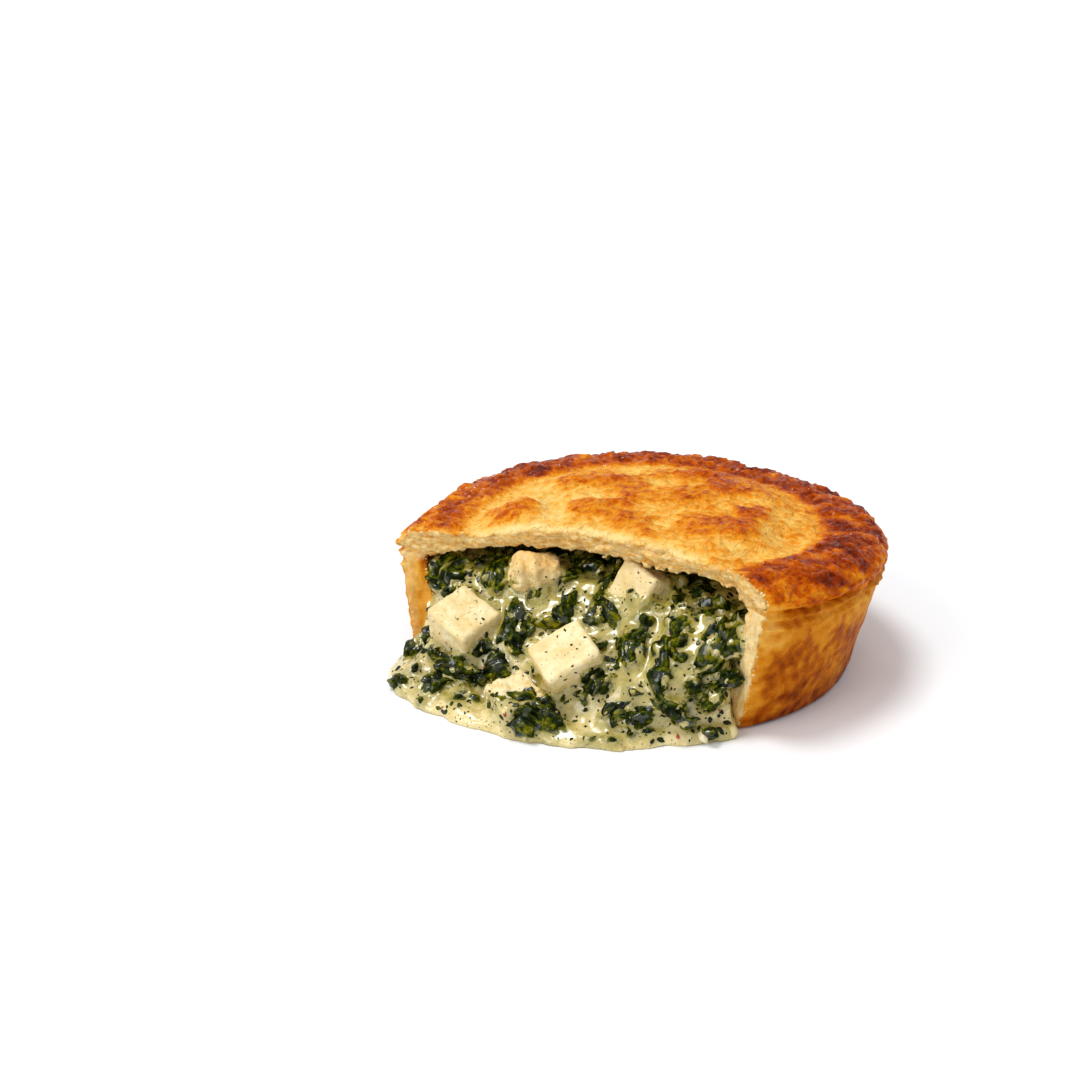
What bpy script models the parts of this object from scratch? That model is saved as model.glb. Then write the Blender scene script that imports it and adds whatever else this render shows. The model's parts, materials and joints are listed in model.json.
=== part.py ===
"""A deep round spinach pie with a piece cut out of its front, at its real size.

The pastry case and the lid are turned shapes, cut along the same curved line.
The creamed spinach fills the case, has slumped out of the cut and lies on the
table; five pieces of white cheese are bedded in it. The pie stands on z = 0
with its axis on Z and its cut side towards -Y.
"""

import math

import bmesh
import bpy
import numpy as np
from mathutils import Euler, Vector, noise

MM = 0.001

# Case: outer wall, rim ledge and inner wall
BASE_RADIUS = 48.6 * MM
WALL_TOP_RADIUS = 53.7 * MM
LEDGE_RADIUS = 54.8 * MM
LEDGE_TOP = 25.8 * MM
LEDGE_DROP = 3.2 * MM
FLOOR_THICKNESS = 3.0 * MM
WALL_THICKNESS = 5.2 * MM

# Lid: rolled rim, shallow groove inside it, and puffed middle
LID_RADIUS = 55.2 * MM
ROLL_RADIUS = 46.5 * MM
ROLL_TOP = 32.5 * MM
GROOVE_RADIUS = 39.4 * MM
GROOVE_TOP = 31.8 * MM
DOME_TOP = 36.6 * MM
LID_THICKNESS = 4.2 * MM

# The cut has pushed the wall out of round at its left end, more at the foot than
# at the rim, and has lifted the rim at its right end
LEFT_END_ANGLE = math.radians(190.0)
SPREAD_FOOT = 0.18
SPREAD_RIM = 0.09
FOOT_ARC = math.radians(38.0)
RIM_ARC = math.radians(27.0)
RIGHT_END_ANGLE = math.radians(-64.0)
RIM_LIFT = 4.2 * MM
LIFT_ARC = math.radians(78.0)
LIFT_FROM = 10.0 * MM

# Line of the cut, seen from above, from beyond the left end to beyond the right
CUT_LINE = [
    (-75.0, -3.0), (-58.0, -7.0), (-46.0, -11.5), (-33.0, -13.5), (-20.0, -16.5),
    (-9.0, -21.5), (1.0, -28.5), (10.0, -34.0), (17.2, -38.2), (20.6, -43.6),
    (23.8, -48.0), (27.0, -53.0), (29.5, -60.0), (30.0, -80.0),
]
CUT_STEPS = 4

# Filling: level inside, slope down from the cut, and the pool on the table
FILL_LEVEL = 23.6 * MM
FILL_RISE = 1.8 * MM
POOL_DEPTH = 2.8 * MM
SLOPE_RUN = 39.0 * MM
SLOPE_POWER = 1.35
WALL_FADE = (44.0 * MM, 52.5 * MM)
WALL_FADE_DELAY = 4.8 * MM
WALL_FADE_DEPTH = 7.0 * MM
EDGE_ROUND = 5.0 * MM
RIM_FADE = (37.0 * MM, 46.0 * MM)
LUMP_HEIGHT = 1.5 * MM
LUMP_SIZE = 7.5 * MM
FILL_SEED = Vector((3.1, 7.7, 1.9))

# Reach of the filling from the axis, by angle from +X in degrees
FILL_REACH = [
    (-173.5, 54.0), (-168.0, 60.0), (-162.0, 64.0), (-152.0, 65.4), (-139.0, 63.0),
    (-128.0, 60.0), (-117.0, 58.6), (-100.0, 55.4), (-84.0, 52.4), (-72.0, 52.0),
    (-67.5, 51.4), (-65.0, 47.0),
]
WALL_MIDDLE_FOOT = 46.0 * MM
WALL_MIDDLE_TOP = 50.6 * MM

# Cheese cubes: centre, edge lengths and turn in degrees; and one torn lump
CHEESE_CUBES = {
    "cheese_cube_left": ((-42.1, -23.0, 13.4), (12.0, 11.0, 12.0), (161.5, -17.0, 139.0)),
    "cheese_cube_middle": ((-17.6, -39.2, 13.6), (10.8, 12.5, 10.0), (-136.0, -52.0, -106.0)),
    "cheese_cube_right": ((-0.8, -22.0, 23.8), (10.0, 11.4, 10.0), (-155.0, -14.0, 133.0)),
    "cheese_cube_front": ((-29.0, -43.0, 5.2), (9.4, 10.0, 6.6), (14.0, -8.0, 30.0)),
}
CHEESE_ROUNDING = 0.9 * MM
LUMP_CENTRE = (-27.0, -15.4, 24.4)
LUMP_SIZES = (6.8, 5.4, 5.2)
LUMP_DENT = 0.13

GAP = 0.3 * MM
SEGMENTS = 76


def remove_startup_objects():
    for obj in list(bpy.data.objects):
        bpy.data.objects.remove(obj, do_unlink=True)


def material(name, colour, roughness):
    """A plain Principled material; none of the food is metallic."""
    mat = bpy.data.materials.new(name)
    mat.use_nodes = True
    shader = mat.node_tree.nodes["Principled BSDF"]
    shader.inputs["Base Color"].default_value = (*colour, 1.0)
    shader.inputs["Roughness"].default_value = roughness
    shader.inputs["Metallic"].default_value = 0.0
    return mat


def add_object(name, mesh, mat=None):
    obj = bpy.data.objects.new(name, mesh)
    bpy.context.scene.collection.objects.link(obj)
    if mat is not None:
        mesh.materials.append(mat)
    return obj


def add_cutter(name, mesh):
    cutter = add_object(name, mesh)
    cutter.hide_render = True
    cutter.display_type = "WIRE"
    return cutter


def subtract(obj, cutter):
    modifier = obj.modifiers.new(cutter.name, "BOOLEAN")
    modifier.operation = "DIFFERENCE"
    modifier.solver = "EXACT"
    modifier.object = cutter


def ease(low, high, value):
    """Smooth step from 0 at low to 1 at high."""
    t = min(max((value - low) / (high - low), 0.0), 1.0)
    return t * t * (3.0 - 2.0 * t)


def nearness(angle, end_angle, arc):
    """1 at a cut end, falling to 0 an arc away from it round the pie."""
    gap = abs((angle - end_angle + math.pi) % (2.0 * math.pi) - math.pi)
    return 1.0 - ease(0.0, arc, gap)


def spread_at(angle, height):
    """Outward stretch of the wall towards its left cut end."""
    share = min(max(height / LEDGE_TOP, 0.0), 1.0)
    foot = SPREAD_FOOT * nearness(angle, LEFT_END_ANGLE, FOOT_ARC)
    rim = SPREAD_RIM * nearness(angle, LEFT_END_ANGLE, RIM_ARC)
    return 1.0 + foot + (rim - foot) * share


def place(angle, radius, height):
    """A point of the pie from its turned profile, with its spread and lift."""
    r = radius * spread_at(angle, height)
    lift = RIM_LIFT * nearness(angle, RIGHT_END_ANGLE, LIFT_ARC)
    lift *= ease(LIFT_FROM, LEDGE_TOP, height) * ease(0.4 * GROOVE_RADIUS, ROLL_RADIUS, radius)
    return Vector((r * math.cos(angle), r * math.sin(angle), height + lift))


def turned(name, profile):
    """Closed solid turned from a profile that starts and ends on the axis."""
    bm = bmesh.new()
    first = bm.verts.new(place(0.0, *profile[0]))
    last = bm.verts.new(place(0.0, *profile[-1]))
    rings = []
    for step in range(SEGMENTS):
        angle = 2.0 * math.pi * step / SEGMENTS
        rings.append([bm.verts.new(place(angle, r, z)) for r, z in profile[1:-1]])
    for step, ring in enumerate(rings):
        following = rings[(step + 1) % SEGMENTS]
        bm.faces.new((first, following[0], ring[0]))
        bm.faces.new((last, ring[-1], following[-1]))
        for i in range(len(ring) - 1):
            bm.faces.new((ring[i], following[i], following[i + 1], ring[i + 1]))
    bmesh.ops.recalc_face_normals(bm, faces=bm.faces)
    mesh = bpy.data.meshes.new(name)
    bm.to_mesh(mesh)
    bm.free()
    mesh.shade_smooth()
    return mesh


def case_profile(grow=0.0):
    """Half section of the case from the middle of its base round to its floor."""
    inner_top = WALL_TOP_RADIUS - WALL_THICKNESS - grow
    inner_foot = BASE_RADIUS - WALL_THICKNESS - grow
    floor = FLOOR_THICKNESS + grow
    return [
        (0.0, -grow),
        (BASE_RADIUS - 2.2 * MM + grow, -grow),
        (BASE_RADIUS - 0.5 * MM + grow, 0.7 * MM - grow),
        (BASE_RADIUS + grow, 2.4 * MM),
        (BASE_RADIUS + 2.7 * MM + grow, LEDGE_TOP * 0.5),
        (WALL_TOP_RADIUS - 0.2 * MM + grow, LEDGE_TOP - LEDGE_DROP - 1.2 * MM),
        (WALL_TOP_RADIUS + 0.6 * MM + grow, LEDGE_TOP - LEDGE_DROP),
        (LEDGE_RADIUS - 0.9 * MM + grow, LEDGE_TOP - 2.3 * MM),
        (LEDGE_RADIUS + grow, LEDGE_TOP - 1.2 * MM),
        (LEDGE_RADIUS - 0.4 * MM + grow, LEDGE_TOP + grow),
        (inner_top + 0.8 * MM, LEDGE_TOP + grow),
        (inner_top, LEDGE_TOP - 1.2 * MM),
        (inner_foot + 1.2 * MM, LEDGE_TOP * 0.42),
        (inner_foot, floor + 3.0 * MM),
        (inner_foot - 2.6 * MM, floor + 0.4 * MM),
        (inner_foot - 6.0 * MM, floor),
        (0.0, floor),
    ]


def lid_profile():
    """Half section of the lid from the middle of its underside to its top."""
    seat = LEDGE_TOP + GAP
    inner = WALL_TOP_RADIUS - WALL_THICKNESS
    return [
        (0.0, DOME_TOP - LID_THICKNESS),
        (20.0 * MM, DOME_TOP - LID_THICKNESS - 0.5 * MM),
        (34.0 * MM, GROOVE_TOP - LID_THICKNESS + 2.6 * MM),
        (GROOVE_RADIUS + 3.4 * MM, seat + 2.4 * MM),
        (inner - 1.0 * MM, seat + 0.3 * MM),
        (inner + 0.8 * MM, seat),
        (LID_RADIUS - 1.4 * MM, seat),
        (LID_RADIUS - 0.3 * MM, seat + 0.7 * MM),
        (LID_RADIUS, seat + 1.7 * MM),
        (LID_RADIUS - 0.8 * MM, seat + 3.0 * MM),
        (LID_RADIUS - 3.2 * MM, ROLL_TOP - 1.2 * MM),
        (ROLL_RADIUS + 1.6 * MM, ROLL_TOP - 0.2 * MM),
        (ROLL_RADIUS - 1.6 * MM, ROLL_TOP - 0.1 * MM),
        (GROOVE_RADIUS + 2.2 * MM, GROOVE_TOP + 0.3 * MM),
        (GROOVE_RADIUS, GROOVE_TOP),
        (GROOVE_RADIUS - 3.4 * MM, GROOVE_TOP + 0.9 * MM),
        (28.0 * MM, DOME_TOP - 0.9 * MM),
        (14.0 * MM, DOME_TOP - 0.2 * MM),
        (0.0, DOME_TOP),
    ]


def cut_curve():
    """The cut line as a smooth row of points, by Catmull-Rom interpolation."""
    pts = np.array(CUT_LINE) * MM
    pts = np.vstack([2.0 * pts[0] - pts[1], pts, 2.0 * pts[-1] - pts[-2]])
    rows = []
    for i in range(1, len(pts) - 2):
        a, b, c, d = pts[i - 1:i + 3]
        for k in range(CUT_STEPS):
            t = k / CUT_STEPS
            rows.append(0.5 * (2.0 * b + (c - a) * t + (2.0 * a - 5.0 * b + 4.0 * c - d) * t ** 2
                               + (3.0 * b - 3.0 * c + d - a) * t ** 3))
    rows.append(pts[-2])
    return np.array(rows)


CUT_CURVE = cut_curve()


def cut_distance(x, y):
    """Distance in front of the cut line; negative inside the pie."""
    a = CUT_CURVE[:-1]
    step = CUT_CURVE[1:] - a
    point = np.array((x, y))
    along = np.clip(((point - a) * step).sum(1) / (step ** 2).sum(1), 0.0, 1.0)
    offset = point - (a + step * along[:, None])
    nearest = int(np.argmin((offset ** 2).sum(1)))
    side = step[nearest][0] * offset[nearest][1] - step[nearest][1] * offset[nearest][0]
    return math.hypot(*offset[nearest]) * (-1.0 if side > 0.0 else 1.0)


def wedge(name, forward=0.0):
    """Upright cutter in front of the cut line, moved forwards by a small gap."""
    line = [Vector((x, y, 0.0)) for x, y in CUT_CURVE]
    shifted = []
    for i, point in enumerate(line):
        along = line[min(i + 1, len(line) - 1)] - line[max(i - 1, 0)]
        outward = Vector((along.y, -along.x, 0.0)).normalized()
        shifted.append(point + outward * forward)
    corner = Vector((CUT_LINE[0][0] * MM, CUT_LINE[-1][1] * MM, 0.0))
    bm = bmesh.new()
    low = [bm.verts.new(p + Vector((0.0, 0.0, -10.0 * MM))) for p in shifted + [corner]]
    face = bm.faces.new(low)
    top = bmesh.ops.extrude_face_region(bm, geom=[face])
    lifted = [v for v in top["geom"] if isinstance(v, bmesh.types.BMVert)]
    bmesh.ops.translate(bm, verts=lifted, vec=(0.0, 0.0, 60.0 * MM))
    bmesh.ops.recalc_face_normals(bm, faces=bm.faces)
    mesh = bpy.data.meshes.new(name)
    bm.to_mesh(mesh)
    bm.free()
    return add_cutter(name, mesh)


def in_degrees(angle):
    """The angle in degrees between -270 and 90, so that the opening is one range."""
    return (math.degrees(angle) + 270.0) % 360.0 - 270.0


def is_open(angle):
    """Whether the case is cut away at this angle."""
    return FILL_REACH[0][0] <= in_degrees(angle) <= FILL_REACH[-1][0]


def fill_reach(angle, wall_middle, height):
    """How far the filling's solid reaches from the axis at an angle."""
    if not is_open(angle):
        return wall_middle * spread_at(angle, height)
    angles, reaches = zip(*FILL_REACH)
    return float(np.interp(in_degrees(angle), angles, reaches)) * MM


def fill_height(x, y, reach):
    """Height of the filling's surface at a point of the table."""
    radius = math.hypot(x, y)
    front = cut_distance(x, y)
    lump = noise.noise(Vector((x, y, 0.0)) / LUMP_SIZE + FILL_SEED)
    angle = math.atan2(y, x)
    unspread = radius / spread_at(angle, FILL_LEVEL)
    fade_from = WALL_FADE[0] + WALL_FADE_DELAY * ease(0.0, WALL_FADE_DEPTH, -front)
    held = 1.0 - ease(fade_from, WALL_FADE[1], unspread) if is_open(angle) else 1.0
    if front <= 0.0:
        under_rim = ease(*RIM_FADE, radius)
        rise = FILL_RISE * ease(0.0, 12.0 * MM, -front) * (1.0 - under_rim)
        level = FILL_LEVEL + rise + LUMP_HEIGHT * lump * (1.0 - 0.8 * under_rim)
        return POOL_DEPTH + (level - POOL_DEPTH) * held
    edge = max(reach - radius, 0.0)
    rounding = 1.0 - min(edge / EDGE_ROUND, 1.0)
    pool = POOL_DEPTH * math.sqrt(1.0 - rounding ** 2)
    slope = (FILL_LEVEL - POOL_DEPTH) * max(1.0 - front / SLOPE_RUN, 0.0) ** SLOPE_POWER
    return pool + slope * held + LUMP_HEIGHT * lump * ease(0.0, EDGE_ROUND, edge)


def filling_mesh(name):
    """Creamed spinach as a solid with an uneven top over a flat underside."""
    shares = [0.12, 0.24, 0.34, 0.43, 0.51, 0.58, 0.65, 0.71, 0.77, 0.83, 0.885, 0.93,
              0.97, 1.0]
    bm = bmesh.new()
    centre_top = bm.verts.new((0.0, 0.0, fill_height(0.0, 0.0, WALL_MIDDLE_TOP)))
    centre_low = bm.verts.new((0.0, 0.0, 0.0))
    rings = []
    for step in range(SEGMENTS):
        angle = 2.0 * math.pi * step / SEGMENTS
        reach = fill_reach(angle, WALL_MIDDLE_TOP, FILL_LEVEL)
        foot = fill_reach(angle, WALL_MIDDLE_FOOT, 0.0)
        direction = Vector((math.cos(angle), math.sin(angle), 0.0))
        ring = []
        for share in shares:
            point = direction * reach * share
            point.z = max(fill_height(point.x, point.y, reach), 0.5 * MM)
            ring.append(bm.verts.new(point))
        ring.append(bm.verts.new(direction * foot))
        rings.append(ring)
    for step, ring in enumerate(rings):
        following = rings[(step + 1) % SEGMENTS]
        bm.faces.new((centre_top, ring[0], following[0]))
        bm.faces.new((centre_low, following[-1], ring[-1]))
        for i in range(len(ring) - 1):
            bm.faces.new((ring[i], ring[i + 1], following[i + 1], following[i]))
    bmesh.ops.recalc_face_normals(bm, faces=bm.faces)
    mesh = bpy.data.meshes.new(name)
    bm.to_mesh(mesh)
    bm.free()
    mesh.shade_smooth()
    return mesh


def cube_mesh(name, centre, edges, turn, grow=0.0):
    """Cut cube of cheese with softened edges, grown for its bed in the filling."""
    bm = bmesh.new()
    bmesh.ops.create_cube(bm, size=1.0)
    bmesh.ops.scale(bm, verts=bm.verts, vec=[edge * MM + 2.0 * grow for edge in edges])
    bmesh.ops.bevel(bm, geom=bm.edges, offset=CHEESE_ROUNDING, segments=2, profile=0.5,
                    affect="EDGES")
    spin = Euler([math.radians(a) for a in turn]).to_matrix()
    bmesh.ops.rotate(bm, verts=bm.verts, matrix=spin)
    bmesh.ops.translate(bm, verts=bm.verts, vec=Vector(centre) * MM)
    mesh = bpy.data.meshes.new(name)
    bm.to_mesh(mesh)
    bm.free()
    return mesh


def lump_mesh(name, grow=0.0):
    """Torn, rounded lump of cheese with a dented surface."""
    bm = bmesh.new()
    bmesh.ops.create_icosphere(bm, subdivisions=3, radius=1.0)
    for vert in bm.verts:
        direction = vert.co.normalized()
        dent = 1.0 + LUMP_DENT * noise.noise(direction * 2.1 + FILL_SEED)
        size = Vector(LUMP_SIZES) * MM
        shaped = Vector(d * s for d, s in zip(direction, size)) * dent
        vert.co = shaped + shaped.normalized() * grow + Vector(LUMP_CENTRE) * MM
    mesh = bpy.data.meshes.new(name)
    bm.to_mesh(mesh)
    bm.free()
    return mesh


def make_pastry(cut):
    case = add_object("pastry_case", turned("pastry_case", case_profile()),
                      material("case_pastry", (0.72, 0.42, 0.13), 0.55))
    lid = add_object("pastry_lid", turned("pastry_lid", lid_profile()),
                     material("lid_pastry", (0.66, 0.33, 0.08), 0.38))
    subtract(case, cut)
    subtract(lid, cut)


def make_cheese(mat):
    """The cheese pieces; returns the cutters of their beds in the filling."""
    beds = []
    for name, (centre, edges, turn) in CHEESE_CUBES.items():
        add_object(name, cube_mesh(name, centre, edges, turn), mat)
        bed_name = name + "_bed"
        beds.append(add_cutter(bed_name, cube_mesh(bed_name, centre, edges, turn, GAP)))
    add_object("cheese_lump_back", lump_mesh("cheese_lump_back"), mat)
    beds.append(add_cutter("cheese_lump_bed", lump_mesh("cheese_lump_bed", GAP)))
    return beds


def make_filling(beds):
    filling = add_object("filling", filling_mesh("filling"),
                         material("creamed_spinach", (0.20, 0.25, 0.09), 0.32))
    shell = add_cutter("case_clearance", turned("case_clearance", case_profile(GAP)))
    subtract(shell, wedge("wedge_ahead", GAP))
    subtract(filling, shell)
    for bed in beds:
        subtract(filling, bed)


def main():
    remove_startup_objects()
    make_pastry(wedge("wedge"))
    beds = make_cheese(material("white_cheese", (0.83, 0.76, 0.50), 0.45))
    make_filling(beds)


main()
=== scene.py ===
"""Looks of a deep round spinach pie, cut open at its front.

The pastry, the creamed filling, the wilted spinach and the cheese are each drawn
as a field of depths on a grid, and the surface where the field is zero becomes
the mesh. Lengths are millimetres until a mesh is made.
"""

import json
import math
from itertools import product

import bmesh
import bpy
import numpy as np
from mathutils import Euler, Matrix, Vector

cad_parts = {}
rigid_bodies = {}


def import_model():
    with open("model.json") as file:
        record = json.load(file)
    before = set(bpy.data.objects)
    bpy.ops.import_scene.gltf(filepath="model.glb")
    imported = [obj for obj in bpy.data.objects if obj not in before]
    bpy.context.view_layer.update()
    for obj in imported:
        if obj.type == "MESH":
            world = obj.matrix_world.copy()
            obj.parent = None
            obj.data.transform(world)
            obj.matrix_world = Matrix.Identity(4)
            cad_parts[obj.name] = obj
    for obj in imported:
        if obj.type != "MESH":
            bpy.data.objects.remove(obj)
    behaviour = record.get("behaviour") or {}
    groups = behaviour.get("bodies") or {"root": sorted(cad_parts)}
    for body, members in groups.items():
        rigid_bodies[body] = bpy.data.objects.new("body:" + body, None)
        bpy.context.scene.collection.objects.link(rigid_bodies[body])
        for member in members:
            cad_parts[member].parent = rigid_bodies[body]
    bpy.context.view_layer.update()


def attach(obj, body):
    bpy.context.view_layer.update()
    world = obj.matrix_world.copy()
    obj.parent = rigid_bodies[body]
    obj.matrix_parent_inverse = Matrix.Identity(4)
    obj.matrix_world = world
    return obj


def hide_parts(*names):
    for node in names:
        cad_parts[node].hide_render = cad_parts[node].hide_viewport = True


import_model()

MM = 0.001

# Case: outer wall, rim ledge and inner wall
BASE_RADIUS = 48.6
WALL_TOP_RADIUS = 53.7
LEDGE_RADIUS = 54.8
LEDGE_TOP = 25.8
LEDGE_DROP = 3.2
FLOOR_THICKNESS = 3.0
WALL_THICKNESS = 5.2

# Lid: rolled rim, shallow groove inside it, and puffed middle
LID_RADIUS = 55.2
ROLL_RADIUS = 46.5
ROLL_TOP = 32.5
GROOVE_RADIUS = 39.4
GROOVE_TOP = 31.8
DOME_TOP = 36.6
LID_THICKNESS = 4.2
LID_BEDDING = 0.2

# Spread of the left cut end and lift of the rim at the right one
LEFT_END_ANGLE = math.radians(190.0)
SPREAD_FOOT = 0.18
SPREAD_RIM = 0.09
FOOT_ARC = math.radians(38.0)
RIM_ARC = math.radians(27.0)
RIGHT_END_ANGLE = math.radians(-64.0)
RIM_LIFT = 4.2
LIFT_ARC = math.radians(78.0)
LIFT_FROM = 10.0

# Line of the cut, seen from above, from beyond the left end to beyond the right
CUT_LINE = [
    (-75.0, -3.0), (-58.0, -7.0), (-46.0, -11.5), (-33.0, -13.5), (-20.0, -16.5),
    (-9.0, -21.5), (1.0, -28.5), (10.0, -34.0), (17.2, -38.2), (20.6, -43.6),
    (23.8, -48.0), (27.0, -53.0), (29.5, -60.0), (30.0, -80.0),
]

# Filling: level inside, slope down from the cut, and the pool on the table
FILL_LEVEL = 23.6
FILL_RISE = 1.8
POOL_DEPTH = 2.8
SLOPE_RUN = 39.0
SLOPE_POWER = 1.35
WALL_FADE = (44.0, 52.5)
WALL_FADE_DELAY = 4.8
WALL_FADE_DEPTH = 7.0
EDGE_ROUND = 5.0
RIM_FADE = (37.0, 46.0)
FILL_REACH = [
    (-173.5, 54.0), (-168.0, 60.0), (-162.0, 64.0), (-152.0, 65.4), (-139.0, 63.0),
    (-128.0, 60.0), (-117.0, 58.6), (-100.0, 55.4), (-84.0, 52.4), (-72.0, 52.0),
    (-67.5, 51.4), (-65.0, 47.0),
]
INNER_FOOT = BASE_RADIUS - WALL_THICKNESS + 0.7
INNER_TOP = WALL_TOP_RADIUS - WALL_THICKNESS + 0.7

# Raised and hollow places of the lid: centre, half sizes, and height before its scale
LID_HILL_SCALE = 1.8
LID_HILLS = [
    (-32.1, -2.1, 6.6, 5.3, 0.9), (-19.7, 15.2, 6.1, 3.5, 0.7), (-10.2, 15.8, 7.3, 4.3, 0.7),
    (-14.3, -3.5, 6.1, 5.9, 0.9), (-6.5, 3.0, 4.8, 5.4, 0.7), (-5.2, -11.9, 4.1, 4.4, 0.7),
    (11.6, 21.6, 9.9, 4.3, 0.8), (19.1, 12.2, 5.3, 4.9, 0.9), (13.7, -14.4, 10.3, 7.4, 1.1),
    (8.0, 5.3, 8.3, 6.8, 0.7), (23.3, -3.6, 3.5, 5.2, 0.6), (0.8, -18.3, 4.5, 4.9, 0.6),
    (15.0, -35.0, 2.6, 3.9, 0.7), (-23.1, -2.1, 2.8, 6.6, -0.9), (-28.1, 12.5, 3.9, 2.8, -0.9),
    (-9.9, 4.1, 3.8, 3.4, -0.7), (30.0, -15.2, 4.5, 7.4, -1.3), (3.7, -13.8, 3.2, 4.4, -0.7),
    (22.3, -27.6, 3.1, 2.9, -0.9),
]

# Cheese cubes: centre, edge lengths and turn in degrees
CHEESE_CUBES = {
    "cheese_cube_left": ((-42.1, -23.0, 13.4), (12.0, 11.0, 12.0), (161.5, -17.0, 139.0)),
    "cheese_cube_middle": ((-17.6, -39.2, 13.6), (10.8, 12.5, 10.0), (-136.0, -52.0, -106.0)),
    "cheese_cube_right": ((-0.8, -22.0, 23.8), (10.0, 11.4, 10.0), (-155.0, -14.0, 133.0)),
    "cheese_cube_front": ((-29.0, -43.0, 5.2), (9.4, 10.0, 6.6), (14.0, -8.0, 30.0)),
}
BURIED_CUBE = "cheese_cube_front"

# Torn lump of cheese under the lid
CHEESE_LUMP = "cheese_lump_back"
LUMP_CENTRE = (-26.4, -15.6, 24.6)
LUMP_SIZES = (11.6, 8.6, 9.6)
LUMP_TURN = (12.0, 9.0, 14.0)

# All cheese: what wear takes off a cube, how round the edges are, half sizes of the grids, and
# the pieces that are more worn or warmer in colour than the others, the latter partly as painted
# shade under the lid
WORN_OFF = 0.7
CUBE_ROUNDING = 0.9
LUMP_ROUNDING = 3.4
CUBE_GRID_HALF = 10.5
LUMP_GRID_HALF = 8.5
CHEESE_WEAR = {CHEESE_LUMP: 2.6, BURIED_CUBE: 2.6}
CHEESE_WARMTH_AND_SHADE = {CHEESE_LUMP: 0.10, "cheese_cube_right": 0.08}

# Spinach clumps: place on the filling, half length, half width and turn in degrees; then how
# far they stand out of it, and the most that they are thick from the middle out
SPINACH_CLUMPS = [
    (-35.0, -15.5, 4.9, 4.3, 81), (-30.3, -26.2, 7.2, 3.3, 90), (-21.5, -26.4, 4.4, 2.7, 1),
    (-18.2, -22.0, 3.6, 2.7, 83), (-13.5, -11.5, 5.1, 4.0, 7), (-10.4, -25.7, 5.1, 3.5, 115),
    (-3.7, -37.4, 6.1, 4.0, 71), (-11.2, -43.8, 4.2, 2.6, 50), (-33.9, -33.1, 3.5, 4.3, 22),
    (-37.9, -28.7, 2.3, 2.5, 94), (-42.7, -32.2, 5.7, 2.7, -28), (-54.5, -14.7, 3.6, 2.6, 48),
    (-50.2, -18.0, 2.8, 3.0, -18), (-48.4, -33.3, 2.9, 3.4, 55), (-56.6, -28.9, 3.0, 1.9, 125),
    (-25.1, -48.4, 7.2, 4.6, 149), (-22.0, -49.5, 4.0, 2.4, -175), (-3.3, -48.9, 5.2, 2.6, 4),
    (1.8, -45.5, 2.6, 1.6, 93), (-11.3, -53.2, 1.7, 1.1, 2), (-8.1, -53.2, 1.8, 0.9, 164),
    (-44.4, -13.0, 3.5, 2.4, 6), (-50.3, -9.5, 3.0, 1.9, -57), (-2.3, -46.4, 2.0, 1.3, 164),
    (-46.7, -15.8, 1.5, 1.8, 3), (-25.1, -18.9, 2.3, 1.6, 94), (-19.7, -16.3, 2.5, 2.6, 35),
    (-42.3, -38.1, 1.2, 1.7, 6), (-50.4, -37.4, 1.3, 1.1, 97), (-19.1, -47.5, 1.8, 1.2, 160),
    (7.5, -34.4, 4.1, 3.5, 25), (14.5, -42.6, 6.0, 3.5, 69), (18.0, -44.5, 4.1, 2.1, 67),
    (4.2, -41.2, 4.2, 3.1, 80), (2.9, -45.6, 2.6, 2.4, 4), (5.5, -48.4, 3.7, 2.6, 133),
    (14.0, -46.8, 2.8, 2.3, 69), (9.2, -49.1, 1.9, 1.6, 174), (14.3, -49.2, 2.9, 1.4, 16),
    (6.5, -27.8, 2.4, 1.8, 90), (11.9, -25.8, 3.9, 3.3, 147), (16.8, -31.7, 2.9, 2.2, 124),
    (19.4, -38.0, 1.5, 2.3, -2), (19.2, -42.1, 1.9, 2.2, 114), (10.0, -46.2, 2.0, 1.9, 25),
    (-0.3, -32.5, 2.1, 2.2, 55), (4.2, -21.1, 1.8, 1.8, 0), (-6.7, -19.6, 2.3, 1.8, 12),
    (-38.7, -21.6, 1.6, 1.2, 53), (-16.9, -33.8, 1.4, 1.5, -22), (-24.7, -37.7, 1.2, 1.1, 8),
    (-38.6, -38.2, 1.2, 1.6, 12), (0.9, -51.0, 1.4, 1.0, 6), (-31.3, -36.9, 1.6, 1.1, 146),
    (-46.6, -23.4, 2.0, 1.6, 122), (-53.4, -26.8, 1.8, 1.7, 34), (-3.4, -51.4, 1.2, 1.0, 1),
    (11.4, -44.4, 1.8, 1.7, 38), (16.5, -38.8, 1.9, 2.0, 53), (-0.2, -28.5, 1.7, 1.7, 9),
]
CLUMP_RISE = 0.6
CLUMP_DEPTH = 3.4

# Mounds of filling against the cheese: centre, half sizes and height
MOUNDS = [
    (-26.2, -45.4, 5.8, 4.2, 4.0), (-42.5, -30.2, 4.6, 4.0, 6.0), (-50.2, -22.4, 4.0, 4.5, 6.2),
    (-25.5, -22.0, 5.0, 2.6, 1.6),
]

# Place where no sauce covers the front leaf: centre and half sizes
BARE_LEAF = (-26.0, -46.0, 6.0, 5.0)

# Cells of the grids: fine where a piece shows, coarse where it is hidden or at the back
CRUST_STEPS = (0.47, 0.46, 0.45)
CRUST_BACK_STEP = 0.70
CHEESE_STEP = 0.34
SPINACH_STEP = 0.36
CREAM_STEP = 0.44
CREAM_HIDDEN_STEP = 1.2

# How far lid and case reach past their seam, and how round the crust is at its cut edges
SEAM_LAP = 0.3
CUT_ROUNDING = 0.6

# Fewest points of an island of mesh that is kept, for main pieces and for leaves
SMALLEST_ISLAND = 400
SMALLEST_LEAF = 60

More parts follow.
